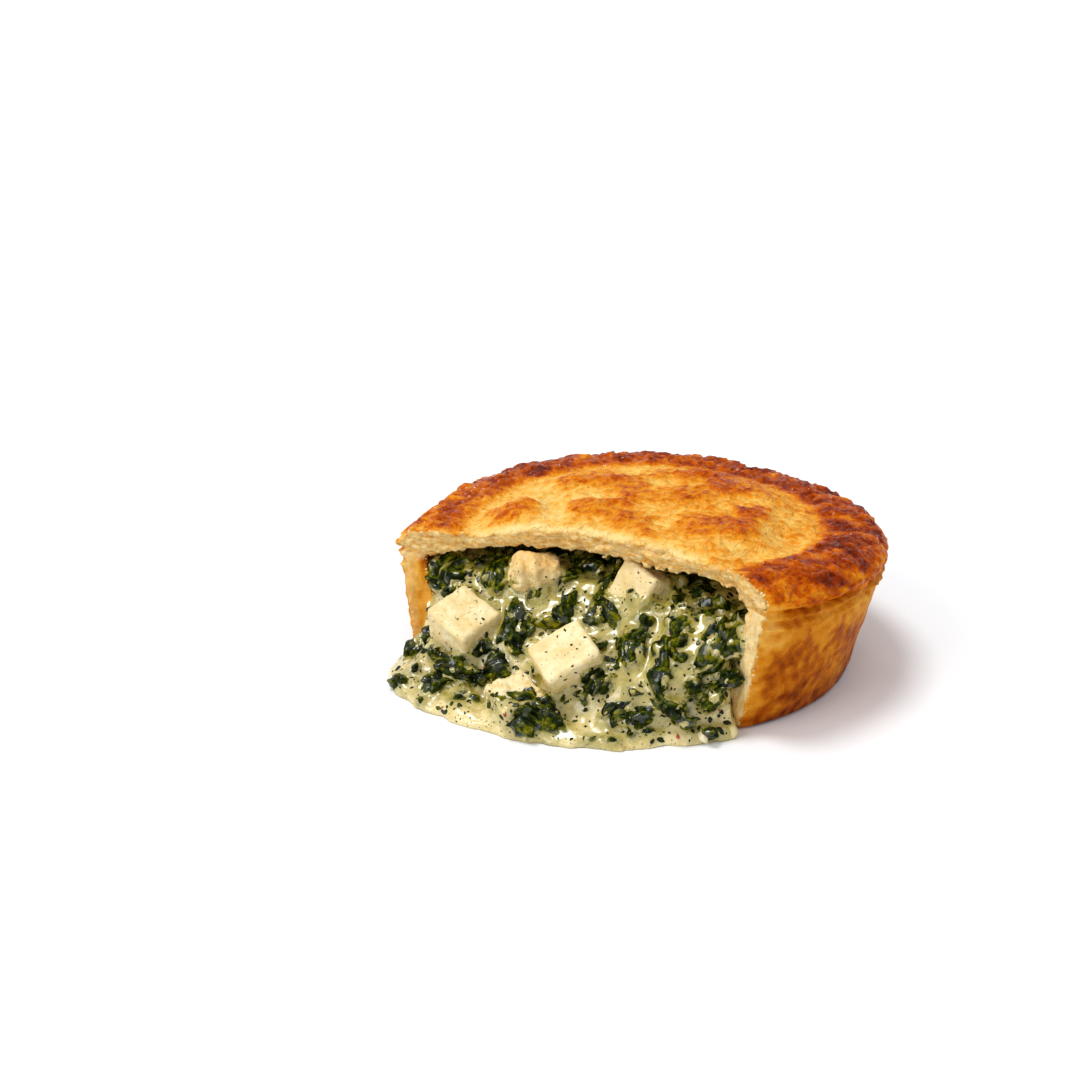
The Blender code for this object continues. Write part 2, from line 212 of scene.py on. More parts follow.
# Lights: the direction each comes from, its strength, its width in degrees and its colour
LIGHTS = {
    "window": ((-0.32, 0.03, 1.0), 1.46, 20.0, (0.98, 0.99, 1.0)),
    "back_window": ((-0.25, 0.85, 0.48), 0.12, 6.0, (1.0, 1.0, 1.0)),
    "wide_window": ((-0.75, -0.55, 0.60), 0.80, 32.0, (1.0, 0.995, 0.99)),
}
ROOM_COLOUR = (0.97, 0.985, 1.0, 1.0)
ROOM_LIGHT = 0.65
TABLE_HALF = 40000.0

# Picture: focal length, angle and distance of view, and place of the pie in the frame
SENSOR_WIDTH = 36.0
FRAME_PIXELS = 1080.0
FOCAL_PIXELS = 1801.28
VIEW_ANGLE = 0.440
VIEW_DISTANCE = 0.440
PIE_PIXEL = (659.1, 642.8)


# --- numbers -------------------------------------------------------------------

SLOPES = np.random.RandomState(11).normal(size=(256, 3))
SLOPES /= np.linalg.norm(SLOPES, axis=1)[:, None]
ORDER = np.random.RandomState(5).permutation(256)


def wander(points, size, seed):
    """Smooth random values between about -1 and 1, with lumps of the given size."""
    scaled = points / np.array(size, float) + np.array((17.3, 5.9, 11.1)) * (seed + 1)
    cell = np.floor(scaled).astype(np.int64)
    part = scaled - cell
    curve = part ** 3 * (part * (part * 6.0 - 15.0) + 10.0)
    total = np.zeros(part.shape[:-1])
    for corner in product((0, 1), repeat=3):
        key = ORDER[(cell[..., 0] + corner[0]) & 255]
        key = ORDER[(key + cell[..., 1] + corner[1]) & 255]
        key = ORDER[(key + cell[..., 2] + corner[2]) & 255]
        weight = np.ones(part.shape[:-1])
        for axis in range(3):
            share = curve[..., axis]
            weight *= share if corner[axis] else 1.0 - share
        total += weight * ((part - corner) * SLOPES[key]).sum(-1)
    return total * 1.7


def ease(low, high, value):
    """Smooth step from 0 at low to 1 at high."""
    t = np.clip((value - low) / (high - low), 0.0, 1.0)
    return t * t * (3.0 - 2.0 * t)


def soft_min(a, b, width):
    share = np.clip(0.5 + 0.5 * (b - a) / width, 0.0, 1.0)
    return b + (a - b) * share - width * share * (1.0 - share)


def soft_max(a, b, width):
    return -soft_min(-a, -b, width)


def flat_points(x, y):
    x, y = np.broadcast_arrays(x, y)
    return np.stack([x, y, np.zeros_like(x)], axis=-1)


def mound(x, y, centre_x, centre_y, half_x, half_y):
    """A smooth rise to 1 at a place, seen from above."""
    return np.exp(-((x - centre_x) / half_x) ** 2 - ((y - centre_y) / half_y) ** 2)


# --- grids and their skins --------------------------------------------------------

def block(lows, highs, step):
    """Sample places along x, y and z."""
    return [np.arange(low, high + step, step) for low, high in zip(lows, highs)]


def spread_grid(grid):
    return np.meshgrid(*grid, indexing="ij", sparse=True)


def grid_points(grid, chosen):
    """The places, in millimetres, of the chosen samples."""
    return np.stack([line[i] for line, i in zip(grid, np.nonzero(chosen))], axis=-1)


def skin(field):
    """Places, in samples, and four-sided faces where the field crosses zero."""
    solid = field > 0.0
    shape = tuple(n - 1 for n in field.shape)
    corners = list(product((0, 1), repeat=3))
    count = np.zeros(shape, np.int8)
    for a, b, c in corners:
        count += solid[a:a + shape[0], b:b + shape[1], c:c + shape[2]]
    cells = np.argwhere((count > 0) & (count < 8))
    number = np.full(shape, -1, np.int64)
    number[tuple(cells.T)] = np.arange(len(cells))
    values = {corner: field[tuple((cells + corner).T)] for corner in corners}
    total = np.zeros((len(cells), 3))
    hits = np.zeros(len(cells))
    for start in corners:
        for axis in range(3):
            if start[axis]:
                continue
            end = tuple(1 if i == axis else start[i] for i in range(3))
            crossing = (values[start] > 0.0) != (values[end] > 0.0)
            gap = np.where(crossing, values[start] - values[end], 1.0)
            place = np.tile(np.array(start, float), (len(cells), 1))
            place[:, axis] = np.where(crossing, values[start] / gap, 0.0)
            total += place * crossing[:, None]
            hits += crossing
    places = cells + total / hits[:, None]
    faces = []
    for axis in range(3):
        across, along = (axis + 1) % 3, (axis + 2) % 3
        first = [slice(1, -1)] * 3
        second = [slice(1, -1)] * 3
        first[axis], second[axis] = slice(0, -1), slice(1, None)
        before, after = solid[tuple(first)], solid[tuple(second)]
        offset = np.ones(3, int)
        offset[axis] = 0
        for outward, chosen in ((True, before & ~after), (False, after & ~before)):
            at = np.argwhere(chosen) + offset
            ring = []
            for u, v in ((-1, -1), (0, -1), (0, 0), (-1, 0)):
                corner = at.copy()
                corner[:, across] += u
                corner[:, along] += v
                ring.append(number[tuple(corner.T)])
            faces.append(np.stack(ring if outward else ring[::-1], axis=-1))
    return places, np.concatenate(faces)


def drop_crumbs(places, faces, smallest):
    """Leave out the separate islands that have fewer points than smallest."""
    label = np.arange(len(places))
    a = faces.ravel()
    b = np.roll(faces, 1, axis=1).ravel()
    while True:
        low = np.minimum(label[a], label[b])
        if (low == label[a]).all() and (low == label[b]).all():
            break
        np.minimum.at(label, a, low)
        np.minimum.at(label, b, low)
        label = label[label]
    sizes = np.bincount(label, minlength=len(places))
    kept = sizes[label] >= smallest
    number = np.cumsum(kept) - 1
    return places[kept], number[faces[kept[faces[:, 0]]]]


def smooth(points, faces, rounds):
    """Move each point half way to the middle of its neighbours, some rounds over."""
    ends = np.concatenate([faces, np.roll(faces, 1, axis=1)], axis=1).ravel()
    others = np.concatenate([np.roll(faces, 1, axis=1), faces], axis=1).ravel()
    count = np.bincount(ends, minlength=len(points))[:, None]
    for _ in range(rounds):
        middle = [np.bincount(ends, points[others, i], len(points)) for i in range(3)]
        points = 0.5 * (points + np.stack(middle, axis=-1) / count)
    return points


def sample(field, places):
    """Values of a field between its samples."""
    cell = np.minimum(places.astype(int), np.array(field.shape) - 2)
    part = places - cell
    total = np.zeros(len(places))
    for corner in product((0, 1), repeat=3):
        weight = np.prod(np.where(corner, part, 1.0 - part), axis=1)
        total += weight * field[tuple((cell + corner).T)]
    return total


def surface_of(field, grid, smallest=SMALLEST_ISLAND):
    """Skin of a field, without its small islands: places in samples, points and faces."""
    places, faces = drop_crumbs(*skin(field), smallest)
    lines = [np.interp(places[:, i], np.arange(len(grid[i])), grid[i]) for i in range(3)]
    return places, np.stack(lines, axis=-1), faces


def make_piece(name, points, faces, finish, layers=None):
    """A smooth mesh object from points in millimetres, with its float layers."""
    mesh = bpy.data.meshes.new(name)
    mesh.vertices.add(len(points))
    mesh.vertices.foreach_set("co", (points * MM).ravel())
    mesh.loops.add(faces.size)
    mesh.loops.foreach_set("vertex_index", faces.astype(np.int32).ravel())
    mesh.polygons.add(len(faces))
    starts = np.arange(0, faces.size, faces.shape[1], dtype=np.int32)
    mesh.polygons.foreach_set("loop_start", starts)
    mesh.update(calc_edges=True)
    for layer, values in (layers or {}).items():
        attribute = mesh.attributes.new(layer, "FLOAT", "POINT")
        attribute.data.foreach_set("value", values.astype(np.float32))
    mesh.validate()
    mesh.shade_smooth()
    mesh.materials.append(finish)
    piece = bpy.data.objects.new(name, mesh)
    bpy.context.scene.collection.objects.link(piece)
    return piece


# --- form of the pie ---------------------------------------------------------------

def nearness(angle, end_angle, arc):
    """1 at an angle, falling to 0 an arc away from it round the pie."""
    gap = np.abs((angle - end_angle + math.pi) % (2.0 * math.pi) - math.pi)
    return 1.0 - ease(0.0, arc, gap)


def side_share(points, degrees, arc_degrees):
    """How near points are to an angle round the pie, with angle and arc in degrees."""
    angle = np.arctan2(points[:, 1], points[:, 0])
    return nearness(angle, math.radians(degrees), math.radians(arc_degrees))


def spread_at(angle, height):
    share = np.clip(height / LEDGE_TOP, 0.0, 1.0)
    foot = SPREAD_FOOT * nearness(angle, LEFT_END_ANGLE, FOOT_ARC)
    rim = SPREAD_RIM * nearness(angle, LEFT_END_ANGLE, RIM_ARC)
    return 1.0 + foot + (rim - foot) * share


def turned_place(x, y, z):
    """Radius and height in the round pie before its spread and lift."""
    angle = np.arctan2(y, x)
    reach = np.hypot(x, y)
    lifting = RIM_LIFT * nearness(angle, RIGHT_END_ANGLE, LIFT_ARC)
    radius, height = reach + 0.0 * z, z + 0.0 * reach
    for _ in range(3):
        radius = reach / spread_at(angle, height)
        lift = lifting * ease(LIFT_FROM, LEDGE_TOP, height)
        lift = lift * ease(0.4 * GROOVE_RADIUS, ROLL_RADIUS, radius)
        height = z - lift
    return radius, height


def case_profile():
    inner_top = WALL_TOP_RADIUS - WALL_THICKNESS
    inner_foot = BASE_RADIUS - WALL_THICKNESS
    return [
        (0.0, 0.0), (BASE_RADIUS - 2.2, 0.0), (BASE_RADIUS - 0.5, 0.7), (BASE_RADIUS, 2.4),
        (BASE_RADIUS + 2.7, LEDGE_TOP * 0.5),
        (WALL_TOP_RADIUS - 0.2, LEDGE_TOP - LEDGE_DROP - 1.2),
        (WALL_TOP_RADIUS + 0.6, LEDGE_TOP - LEDGE_DROP), (LEDGE_RADIUS - 0.9, LEDGE_TOP - 2.3),
        (LEDGE_RADIUS, LEDGE_TOP - 1.2), (LEDGE_RADIUS - 0.4, LEDGE_TOP),
        (inner_top + 0.8, LEDGE_TOP), (inner_top, LEDGE_TOP - 1.2),
        (inner_foot + 1.2, LEDGE_TOP * 0.42), (inner_foot, FLOOR_THICKNESS + 3.0),
        (inner_foot - 2.6, FLOOR_THICKNESS + 0.4), (inner_foot - 6.0, FLOOR_THICKNESS),
        (0.0, FLOOR_THICKNESS),
    ]


def lid_profile():
    seat = LEDGE_TOP - LID_BEDDING
    inner = WALL_TOP_RADIUS - WALL_THICKNESS
    return [
        (0.0, DOME_TOP - LID_THICKNESS), (20.0, DOME_TOP - LID_THICKNESS - 0.5),
        (34.0, GROOVE_TOP - LID_THICKNESS + 2.6), (GROOVE_RADIUS + 3.4, seat + 2.4),
        (inner - 1.0, seat + 0.3), (inner + 0.8, seat), (LID_RADIUS - 1.4, seat),
        (LID_RADIUS - 0.3, seat + 0.9), (LID_RADIUS, seat + 2.1), (LID_RADIUS - 0.8, seat + 3.4),
        (LID_RADIUS - 3.2, ROLL_TOP - 1.2), (ROLL_RADIUS + 1.6, ROLL_TOP - 0.2),
        (ROLL_RADIUS - 1.6, ROLL_TOP - 0.1), (GROOVE_RADIUS + 2.2, GROOVE_TOP + 0.3),
        (GROOVE_RADIUS, GROOVE_TOP), (GROOVE_RADIUS - 3.4, GROOVE_TOP + 0.9),
        (28.0, DOME_TOP - 0.9), (14.0, DOME_TOP - 0.2), (0.0, DOME_TOP),
    ]


class Section:
    """Depth inside a half section of the pie, from a table of the profile."""

    STEP = 0.1
    LOW = -4.0

    def __init__(self, profile):
        r = np.arange(0.0, 66.0, self.STEP)
        z = np.arange(self.LOW, 44.0, self.STEP)
        r, z = np.meshgrid(r, z, indexing="ij")
        distance = np.full(r.shape, 1e9)
        inside = np.zeros(r.shape, bool)
        for (r0, z0), (r1, z1) in zip(profile, profile[1:]):
            dr, dz = r1 - r0, z1 - z0
            t = np.clip(((r - r0) * dr + (z - z0) * dz) / (dr * dr + dz * dz), 0.0, 1.0)
            distance = np.minimum(distance, np.hypot(r - r0 - t * dr, z - z0 - t * dz))
            if dz != 0.0:
                spans = (z0 > z) != (z1 > z)
                inside ^= spans & (r < r0 + (z - z0) / dz * dr)
        self.table = np.where(inside, distance, -distance)

    def depth(self, radius, height):
        a = np.clip(radius / self.STEP, 0.0, self.table.shape[0] - 1.001)
        b = np.clip((height - self.LOW) / self.STEP, 0.0, self.table.shape[1] - 1.001)
        i, j = a.astype(int), b.astype(int)
        a, b = a - i, b - j
        low = self.table[i, j] * (1.0 - a) + self.table[i + 1, j] * a
        high = self.table[i, j + 1] * (1.0 - a) + self.table[i + 1, j + 1] * a
        return low * (1.0 - b) + high * b


def cut_curve():
    """The cut line as a smooth row of points, by Catmull-Rom interpolation."""
    pts = np.array(CUT_LINE)
    pts = np.vstack([2.0 * pts[0] - pts[1], pts, 2.0 * pts[-1] - pts[-2]])
    rows = []
    for i in range(1, len(pts) - 2):
        a, b, c, d = pts[i - 1:i + 3]
        for t in (0.0, 0.25, 0.5, 0.75):
            rows.append(0.5 * (2.0 * b + (c - a) * t + (2.0 * a - 5.0 * b + 4.0 * c - d) * t ** 2
                               + (3.0 * b - 3.0 * c + d - a) * t ** 3))
    rows.append(pts[-2])
    return np.array(rows)


def cut_distance(x, y):
    """Distance in front of the cut line; negative inside the pie."""
    curve = cut_curve()
    nearest = np.full(np.broadcast_shapes(x.shape, y.shape), 1e9)
    signed = nearest.copy()
    for (x0, y0), (x1, y1) in zip(curve, curve[1:]):
        dx, dy = x1 - x0, y1 - y0
        t = np.clip(((x - x0) * dx + (y - y0) * dy) / (dx * dx + dy * dy), 0.0, 1.0)
        px, py = x - x0 - t * dx, y - y0 - t * dy
        gap = np.hypot(px, py)
        closer = gap < nearest
        nearest = np.where(closer, gap, nearest)
        signed = np.where(closer, np.where(dx * py - dy * px > 0.0, -gap, gap), signed)
    return signed


def is_open(angle):
    degrees = (np.degrees(angle) + 270.0) % 360.0 - 270.0
    return (degrees >= FILL_REACH[0][0]) & (degrees <= FILL_REACH[-1][0])


def fill_reach(angle, height):
    """How far the filling reaches from the axis at an angle and a height."""
    degrees = (np.degrees(angle) + 270.0) % 360.0 - 270.0
    pool = np.interp(degrees, *zip(*FILL_REACH))
    wall = INNER_FOOT + (INNER_TOP - INNER_FOOT) * np.clip(height / FILL_LEVEL, 0.0, 1.0)
    return np.where(is_open(angle), pool, wall * spread_at(angle, height))


def fill_height(x, y):
    """Height of the filling at places seen from above."""
    angle, radius = np.arctan2(y, x), np.hypot(x, y)
    front = cut_distance(x, y)
    reach = fill_reach(angle, FILL_LEVEL)
    unspread = radius / spread_at(angle, FILL_LEVEL)
    fade_from = WALL_FADE[0] + WALL_FADE_DELAY * ease(0.0, WALL_FADE_DEPTH, -front)
    held = np.where(is_open(angle), 1.0 - ease(fade_from, WALL_FADE[1], unspread), 1.0)
    rise = FILL_RISE * ease(0.0, 12.0, -front) * (1.0 - ease(*RIM_FADE, radius))
    inside = POOL_DEPTH + (FILL_LEVEL + rise - POOL_DEPTH) * held
    edge = np.maximum(reach - radius, 0.0)
    pool = POOL_DEPTH * np.sqrt(1.0 - (1.0 - np.minimum(edge / EDGE_ROUND, 1.0)) ** 2)
    slope = (FILL_LEVEL - POOL_DEPTH) * np.clip(1.0 - front / SLOPE_RUN, 0.0, 1.0) ** SLOPE_POWER
    return np.where(front <= 0.0, inside, pool + slope * held)


def mounded_height(x, y):
    """Height of the filling with its mounds against the cheese."""
    height = fill_height(x, y)
    for *place, rise in MOUNDS:
        height = height + rise * mound(x, y, *place)
    return height


# --- shaders ---------------------------------------------------------------------

def srgb(red, green, blue):
    """A colour as seen on a screen, from 0 to 255, in Blender's linear values."""
    values = []
    for c in (red / 255.0, green / 255.0, blue / 255.0):
        values.append(c / 12.92 if c <= 0.04045 else ((c + 0.055) / 1.055) ** 2.4)
    return (*values, 1.0)


class Signal:
    """A node's output, which adds a Math node for each operation on it."""

    def __init__(self, nodes, socket):
        self.nodes = nodes
        self.socket = socket

    def _math(self, operation, a, b):
        return self.nodes.node("Math", {"operation": operation}, {0: a, 1: b})

    def __add__(self, other):
        return self._math("ADD", self, other)

    def __sub__(self, other):
        return self._math("SUBTRACT", self, other)

    def __mul__(self, other):
        return self._math("MULTIPLY", self, other)

    def __rsub__(self, other):
        return self._math("SUBTRACT", other, self)

    __radd__ = __add__
    __rmul__ = __mul__


class Nodes:
    """A node tree under construction."""

    def __init__(self, tree):
        self.tree = tree

    def put(self, socket, value):
        if isinstance(value, Signal):
            self.tree.links.new(value.socket, socket)
        else:
            socket.default_value = value

    def node(self, kind, settings=None, sockets=None, output=0):
        """Any node: its settings first, then its sockets; returns one output, or several.

        The names of shader nodes are given without their first part.
        """
        family = "" if kind.startswith(("Geometry", "Function")) else "ShaderNode"
        node = self.tree.nodes.new(family + kind)
        for name, value in (settings or {}).items():
            if name == "stops":
                ramp = node.color_ramp
                while len(ramp.elements) < len(value):
                    ramp.elements.new(0.5)
                for element, (position, colour) in zip(ramp.elements, value):
                    element.position = position
                    element.color = colour
            else:
                setattr(node, name, value)
        for name, value in (sockets or {}).items():
            self.put(node.inputs[name], value)
        if isinstance(output, tuple):
            return [Signal(self, node.outputs[i]) for i in output]
        return Signal(self, node.outputs[output])


class Finish(Nodes):
    """A material under construction, with its Principled shader."""

    def __init__(self, name, **constants):
        self.material = bpy.data.materials.new(name)
        self.material.use_nodes = True
        super().__init__(self.material.node_tree)
        self.shader = self.tree.nodes["Principled BSDF"]
        for socket, value in constants.items():
            self.shader.inputs[socket.replace("_", " ")].default_value = value

    def layer(self, name):
        return self.node("Attribute", {"attribute_name": name}, output="Fac")

    def place(self):
        return self.node("TexCoord", output="Object")

    def cloud(self, size, detail=2.0, roughness=0.5, distortion=0.0, flatness=1.0):
        """Noise from 0 to 1 with lumps of a size in millimetres, flatter than wide if asked."""
        place = self.place()
        if flatness != 1.0:
            place = self.node("VectorMath", {"operation": "MULTIPLY"},
                              {0: place, 1: (1.0, 1.0, flatness)})
        return self.node("TexNoise", {}, {
            "Vector": place, "Scale": 1.0 / (size * MM), "Detail": detail,
            "Roughness": roughness, "Distortion": distortion})

    def specks(self, spacing, width, share):
        """1 on small specks: their spacing and width in millimetres, and the share kept."""
        settings = {"feature": "F1"}
        sockets = {"Vector": self.place(), "Scale": 1.0 / (spacing * MM), "Randomness": 1.0}
        distance = self.node("TexVoronoi", settings, sockets, output="Distance")
        chance = self.node("TexVoronoi", settings, sockets, output="Color")
        chance = self.node("SeparateColor", {}, {0: chance})
        small = self.step(distance, width / spacing, 0.6 * width / spacing)
        return small * self.step(chance, share, share - 0.02)

    def specked(self, under, specks, strength, over):
        """A colour with specks of another colour on it."""
        return self.mix(self.specks(*specks) * strength, under, over)

    def step(self, value, start, end):
        """Smooth step of a value from 0 at start to 1 at end, in either order."""
        return self.node("MapRange", {"interpolation_type": "SMOOTHSTEP"}, {
            "Value": value, "From Min": start, "From Max": end})

    def ramp(self, value, stops):
        return self.node("ValToRGB", {"stops": stops}, {0: value}, output="Color")

    def mix(self, share, under, over):
        return self.node("Mix", {"data_type": "RGBA"}, {0: share, 6: under, 7: over}, output=2)

    def bump(self, height, distance, strength=1.0, under=None):
        sockets = {"Height": height, "Distance": distance * MM, "Strength": strength}
        if under is not None:
            sockets["Normal"] = under
        return self.node("Bump", {}, sockets)

    def done(self, **links):
        for socket, value in links.items():
            self.put(self.shader.inputs[socket.replace("_", " ")], value)
        return self.material


LID_BROWNING = [
    (0.00, srgb(251, 218, 142)), (0.24, srgb(247, 190, 88)), (0.44, srgb(232, 144, 26)),
    (0.62, srgb(198, 90, 2)), (0.80, srgb(142, 45, 1)), (1.00, srgb(78, 24, 1))]
# The case's colours are darker than the lid's: partly its own colour, partly painted shade for the
# wall turned from the light.
CASE_BROWNING_AND_SHADE = [
    (0.00, srgb(246, 204, 118)), (0.24, srgb(232, 170, 68)), (0.44, srgb(214, 134, 26)),
    (0.62, srgb(180, 92, 5)), (0.80, srgb(136, 56, 1)), (1.00, srgb(74, 24, 1))]
LID_CRUMB = [
    (0.32, srgb(222, 148, 52)), (0.46, srgb(242, 190, 104)), (0.62, srgb(252, 222, 160))]
CASE_CRUMB = [
    (0.32, srgb(232, 180, 100)), (0.46, srgb(244, 207, 138)), (0.66, srgb(251, 228, 174))]


def pastry_finish(name, browning_and_shade, crumb_tones, flatness):
    """Baked pastry: the layer of baked colour browns its skin and also carries some painted shade,
    "glaze" makes it shine and paints highlights on the tops of its wrinkles, and "crumb" is its
    inside.

    The layers of the inside lie flat where flatness is above 1 and stand up where it is below.
    """
    f = Finish(name, Coat_Roughness=0.09, Coat_IOR=1.32, Specular_IOR_Level=0.02,
               Subsurface_Weight=0.10, Subsurface_Scale=0.001,
               Subsurface_Radius=(1.0, 0.6, 0.3))
    bake = f.layer("bake")
    crumb = f.layer("crumb")
    glaze = f.layer("glaze")
    blotches = f.cloud(3.0, 4.0, 0.6)
    grain = f.cloud(0.7, 3.0, 0.62)
    browned = f.step(bake, 0.36, 0.72)
    wrinkles = f.cloud(1.7, 3.0, 0.55, 0.6)
    tone = bake + (blotches - 0.5) * (browned * 0.25 + 0.22) + (grain - 0.5) * 0.22
    # Painted highlight and shade: on the glaze the tops of the small wrinkles are painted paler
    # and their dips darker, in place of glints.
    tone = tone - (wrinkles - 0.5) * glaze * 0.40
    skin_colour = f.ramp(tone, browning_and_shade)
    skin_colour = f.specked(skin_colour, (2.6, 0.30, 0.20), 0.75, srgb(78, 38, 14))
    crumb_colour = f.ramp(f.cloud(1.9, 5.0, 0.68, 0.0, flatness), crumb_tones)
    colour = f.mix(crumb, skin_colour, crumb_colour)
    rough = 0.50 - browned * 0.16 + (grain - 0.5) * 0.3
    roughness = rough + (0.82 - rough) * crumb
    fine = f.cloud(0.55, 4.0, 0.6)
    flakes = f.cloud(1.5, 4.0, 0.72, 0.3, flatness)
    normal = f.bump(wrinkles * (glaze * 0.6 + 0.4), 1.4, 0.95)
    normal = f.bump(fine, 0.18, 0.7, normal)
    normal = f.bump(flakes * crumb, 0.8, 0.9, normal)
    shiny = f.step(f.cloud(1.1, 2.0, 0.5), 0.50, 0.60)
    coat = (1.0 - crumb) * glaze * (browned * 0.50 + 0.15) * (shiny * 0.97 + 0.03)
    return f.done(Base_Color=colour, Roughness=roughness, Coat_Weight=coat, Normal=normal)


def cream_finish():
    """Sauce: "leaf" is its depth inside a clump, and "inside" rises to 1 from its outline."""
    f = Finish("cream_sauce", Coat_Weight=1.0, Coat_Roughness=0.20, Coat_IOR=1.6,
               Subsurface_Weight=0.15, Subsurface_Scale=0.0012,
               Subsurface_Radius=(1.0, 0.9, 0.5))
    leaf = f.layer("leaf")
    inside = f.layer("inside")
    drift = f.cloud(2.6, 5.0, 0.66, 0.8)
    tint = inside * 0.34 + (drift - 0.5) * 1.7 + 0.12
    colour = f.ramp(tint, [
        (0.00, srgb(234, 214, 152)), (0.30, srgb(218, 195, 120)), (0.62, srgb(189, 169, 80)),
        (1.00, srgb(142, 126, 38))])
    near_leaf = leaf + (f.cloud(1.4, 4.0, 0.65) - 0.5) * 3.2
    colour = f.mix(f.step(near_leaf, -2.4, -0.4) * 0.62, colour, srgb(154, 142, 46))
    colour = f.mix(f.step(near_leaf, -0.5, 0.5) * 0.85, colour, srgb(70, 80, 16))
    oil, herbs, pepper = (1.1, 0.28, 0.3), (0.9, 0.22, 0.4), (1.1, 0.14, 0.32)
    colour = f.specked(colour, oil, 0.6, srgb(196, 168, 62))
    colour = f.specked(colour, herbs, 0.85, srgb(66, 82, 28))
    colour = f.specked(colour, pepper, 0.9, srgb(34, 34, 20))
    lumps = f.cloud(1.7, 3.0, 0.55, 0.4)
    fine = f.cloud(0.5, 2.0, 0.5)
    normal = f.bump(lumps, 0.34, 0.8)
    normal = f.bump(fine, 0.05, 0.5, normal)
    roughness = 0.27 + (drift - 0.5) * 0.2
    return f.done(Base_Color=colour, Roughness=roughness, Normal=normal)


def spinach_finish():
    """Wilted leaves, by the height of a "fold", the way "across" it and a "film" of sauce."""
    f = Finish("wilted_spinach", Coat_Roughness=0.14, Coat_IOR=1.65, Specular_IOR_Level=0.02)
    fold = f.layer("fold")
    across = f.layer("across") * 6.0 + f.cloud(2.2, 3.0, 0.6) * 9.0
    veining = f.node("Math", {"operation": "SINE"}, {0: across})
    drift = f.cloud(3.0, 4.0, 0.65, 0.8)
    veins = f.cloud(0.9, 3.0, 0.6, 1.2)
    tone = fold * 0.42 + (drift - 0.5) * 1.1 + (veins - 0.5) * 0.45 + veining * 0.04 + 0.27
    colour = f.ramp(tone, [
        (0.00, srgb(5, 8, 1)), (0.40, srgb(14, 23, 1)), (0.58, srgb(46, 58, 2)),
        (0.74, srgb(120, 116, 6)), (0.94, srgb(190, 164, 30))])
    film = f.layer("film") + (drift - 0.5) * 0.9
    colour = f.mix(f.step(film, 0.5, 0.9) * 0.55, colour, srgb(112, 114, 22))
    colour = f.mix(f.step(film, 0.8, 1.1) * 0.7, colour, srgb(184, 176, 104))
    wrinkles = f.cloud(1.9, 2.0, 0.50, 1.0)
    fine = f.cloud(0.4, 2.0, 0.5)
    normal = f.bump(wrinkles, 0.55, 0.8)
    normal = f.bump(veining, 0.09, 0.8, normal)
    normal = f.bump(fine, 0.04, 0.4, normal)
    roughness = 0.42 + (veins - 0.5) * 0.24
    coat = 0.06 + 0.94 * f.step(f.cloud(2.4, 2.0, 0.5), 0.50, 0.60)
    return f.done(Base_Color=colour, Roughness=roughness, Coat_Weight=coat, Normal=normal)


def leaf_finish(name):
    """Loose leaf bits, from dark green to yellow green by their "shade"."""
    f = Finish(name, Coat_Weight=0.4, Coat_Roughness=0.1, Specular_IOR_Level=0.03)
    shade = f.layer("shade")
    tone = shade * shade * 0.5 + (f.cloud(1.1, 3.0, 0.6) - 0.5) * 1.1 + 0.26
    colour = f.ramp(tone, [
        (0.00, srgb(10, 16, 2)), (0.45, srgb(30, 42, 4)), (0.72, srgb(86, 90, 7)),
        (1.00, srgb(180, 158, 40))])
    normal = f.bump(f.cloud(0.5, 3.0, 0.6, 0.6), 0.12, 0.8)
    return f.done(Base_Color=colour, Roughness=0.32, Normal=normal)


def cheese_finish():
    """Soft white cheese: a yellow-orange layer tints it, partly as painted shade under the lid,
    and "wet" is the sauce round its foot.
    """
    f = Finish("white_cheese", Subsurface_Weight=0.12, Subsurface_Scale=0.0014,
               Subsurface_Radius=(1.0, 0.85, 0.6), Coat_Weight=0.1, Coat_Roughness=0.25)
    drift = f.cloud(5.5, 4.0, 0.62, 0.5)
    colour = f.ramp(drift, [
        (0.25, srgb(227, 193, 120)), (0.46, srgb(238, 213, 152)), (0.72, srgb(246, 232, 190))])
    # Painted shade in part: the pieces under the lid and the top of the lump are tinted darker
    # orange.
    colour = f.mix(f.layer("warm"), colour, srgb(232, 172, 70))
    wet = f.layer("wet")
    colour = f.mix(wet * 0.5, colour, srgb(216, 192, 120))
    spice, herbs, pepper = (1.1, 0.26, 0.34), (1.0, 0.20, 0.34), (1.2, 0.13, 0.34)
    colour = f.specked(colour, spice, 0.7, srgb(204, 164, 60))
    colour = f.specked(colour, herbs, 0.8, srgb(104, 110, 44))
    colour = f.specked(colour, pepper, 0.85, srgb(60, 52, 26))
    curd = f.cloud(1.3, 4.0, 0.6)
    fine = f.cloud(0.4, 2.0, 0.5)
    normal = f.bump(curd, 0.25, 0.7)
    normal = f.bump(fine, 0.10, 0.7, normal)
    roughness = 0.46 + (curd - 0.5) * 0.2
    return f.done(Base_Color=colour, Roughness=roughness, Normal=normal)


def bit_finish(name, dark, light, rough):
    """Plain small bits: two tones and a little relief."""
    f = Finish(name, Coat_Weight=0.1, Coat_Roughness=0.25)
    tone = f.cloud(1.2, 3.0, 0.6)
    colour = f.ramp(tone + (f.layer("shade") - 0.5) * 0.5, [(0.25, dark), (0.7, light)])
    return f.done(Base_Color=colour, Roughness=rough + (tone - 0.5) * 0.2,
                  Normal=f.bump(f.cloud(0.4, 2.0, 0.5), 0.08, 0.6))


# --- pastry ------------------------------------------------------------------------

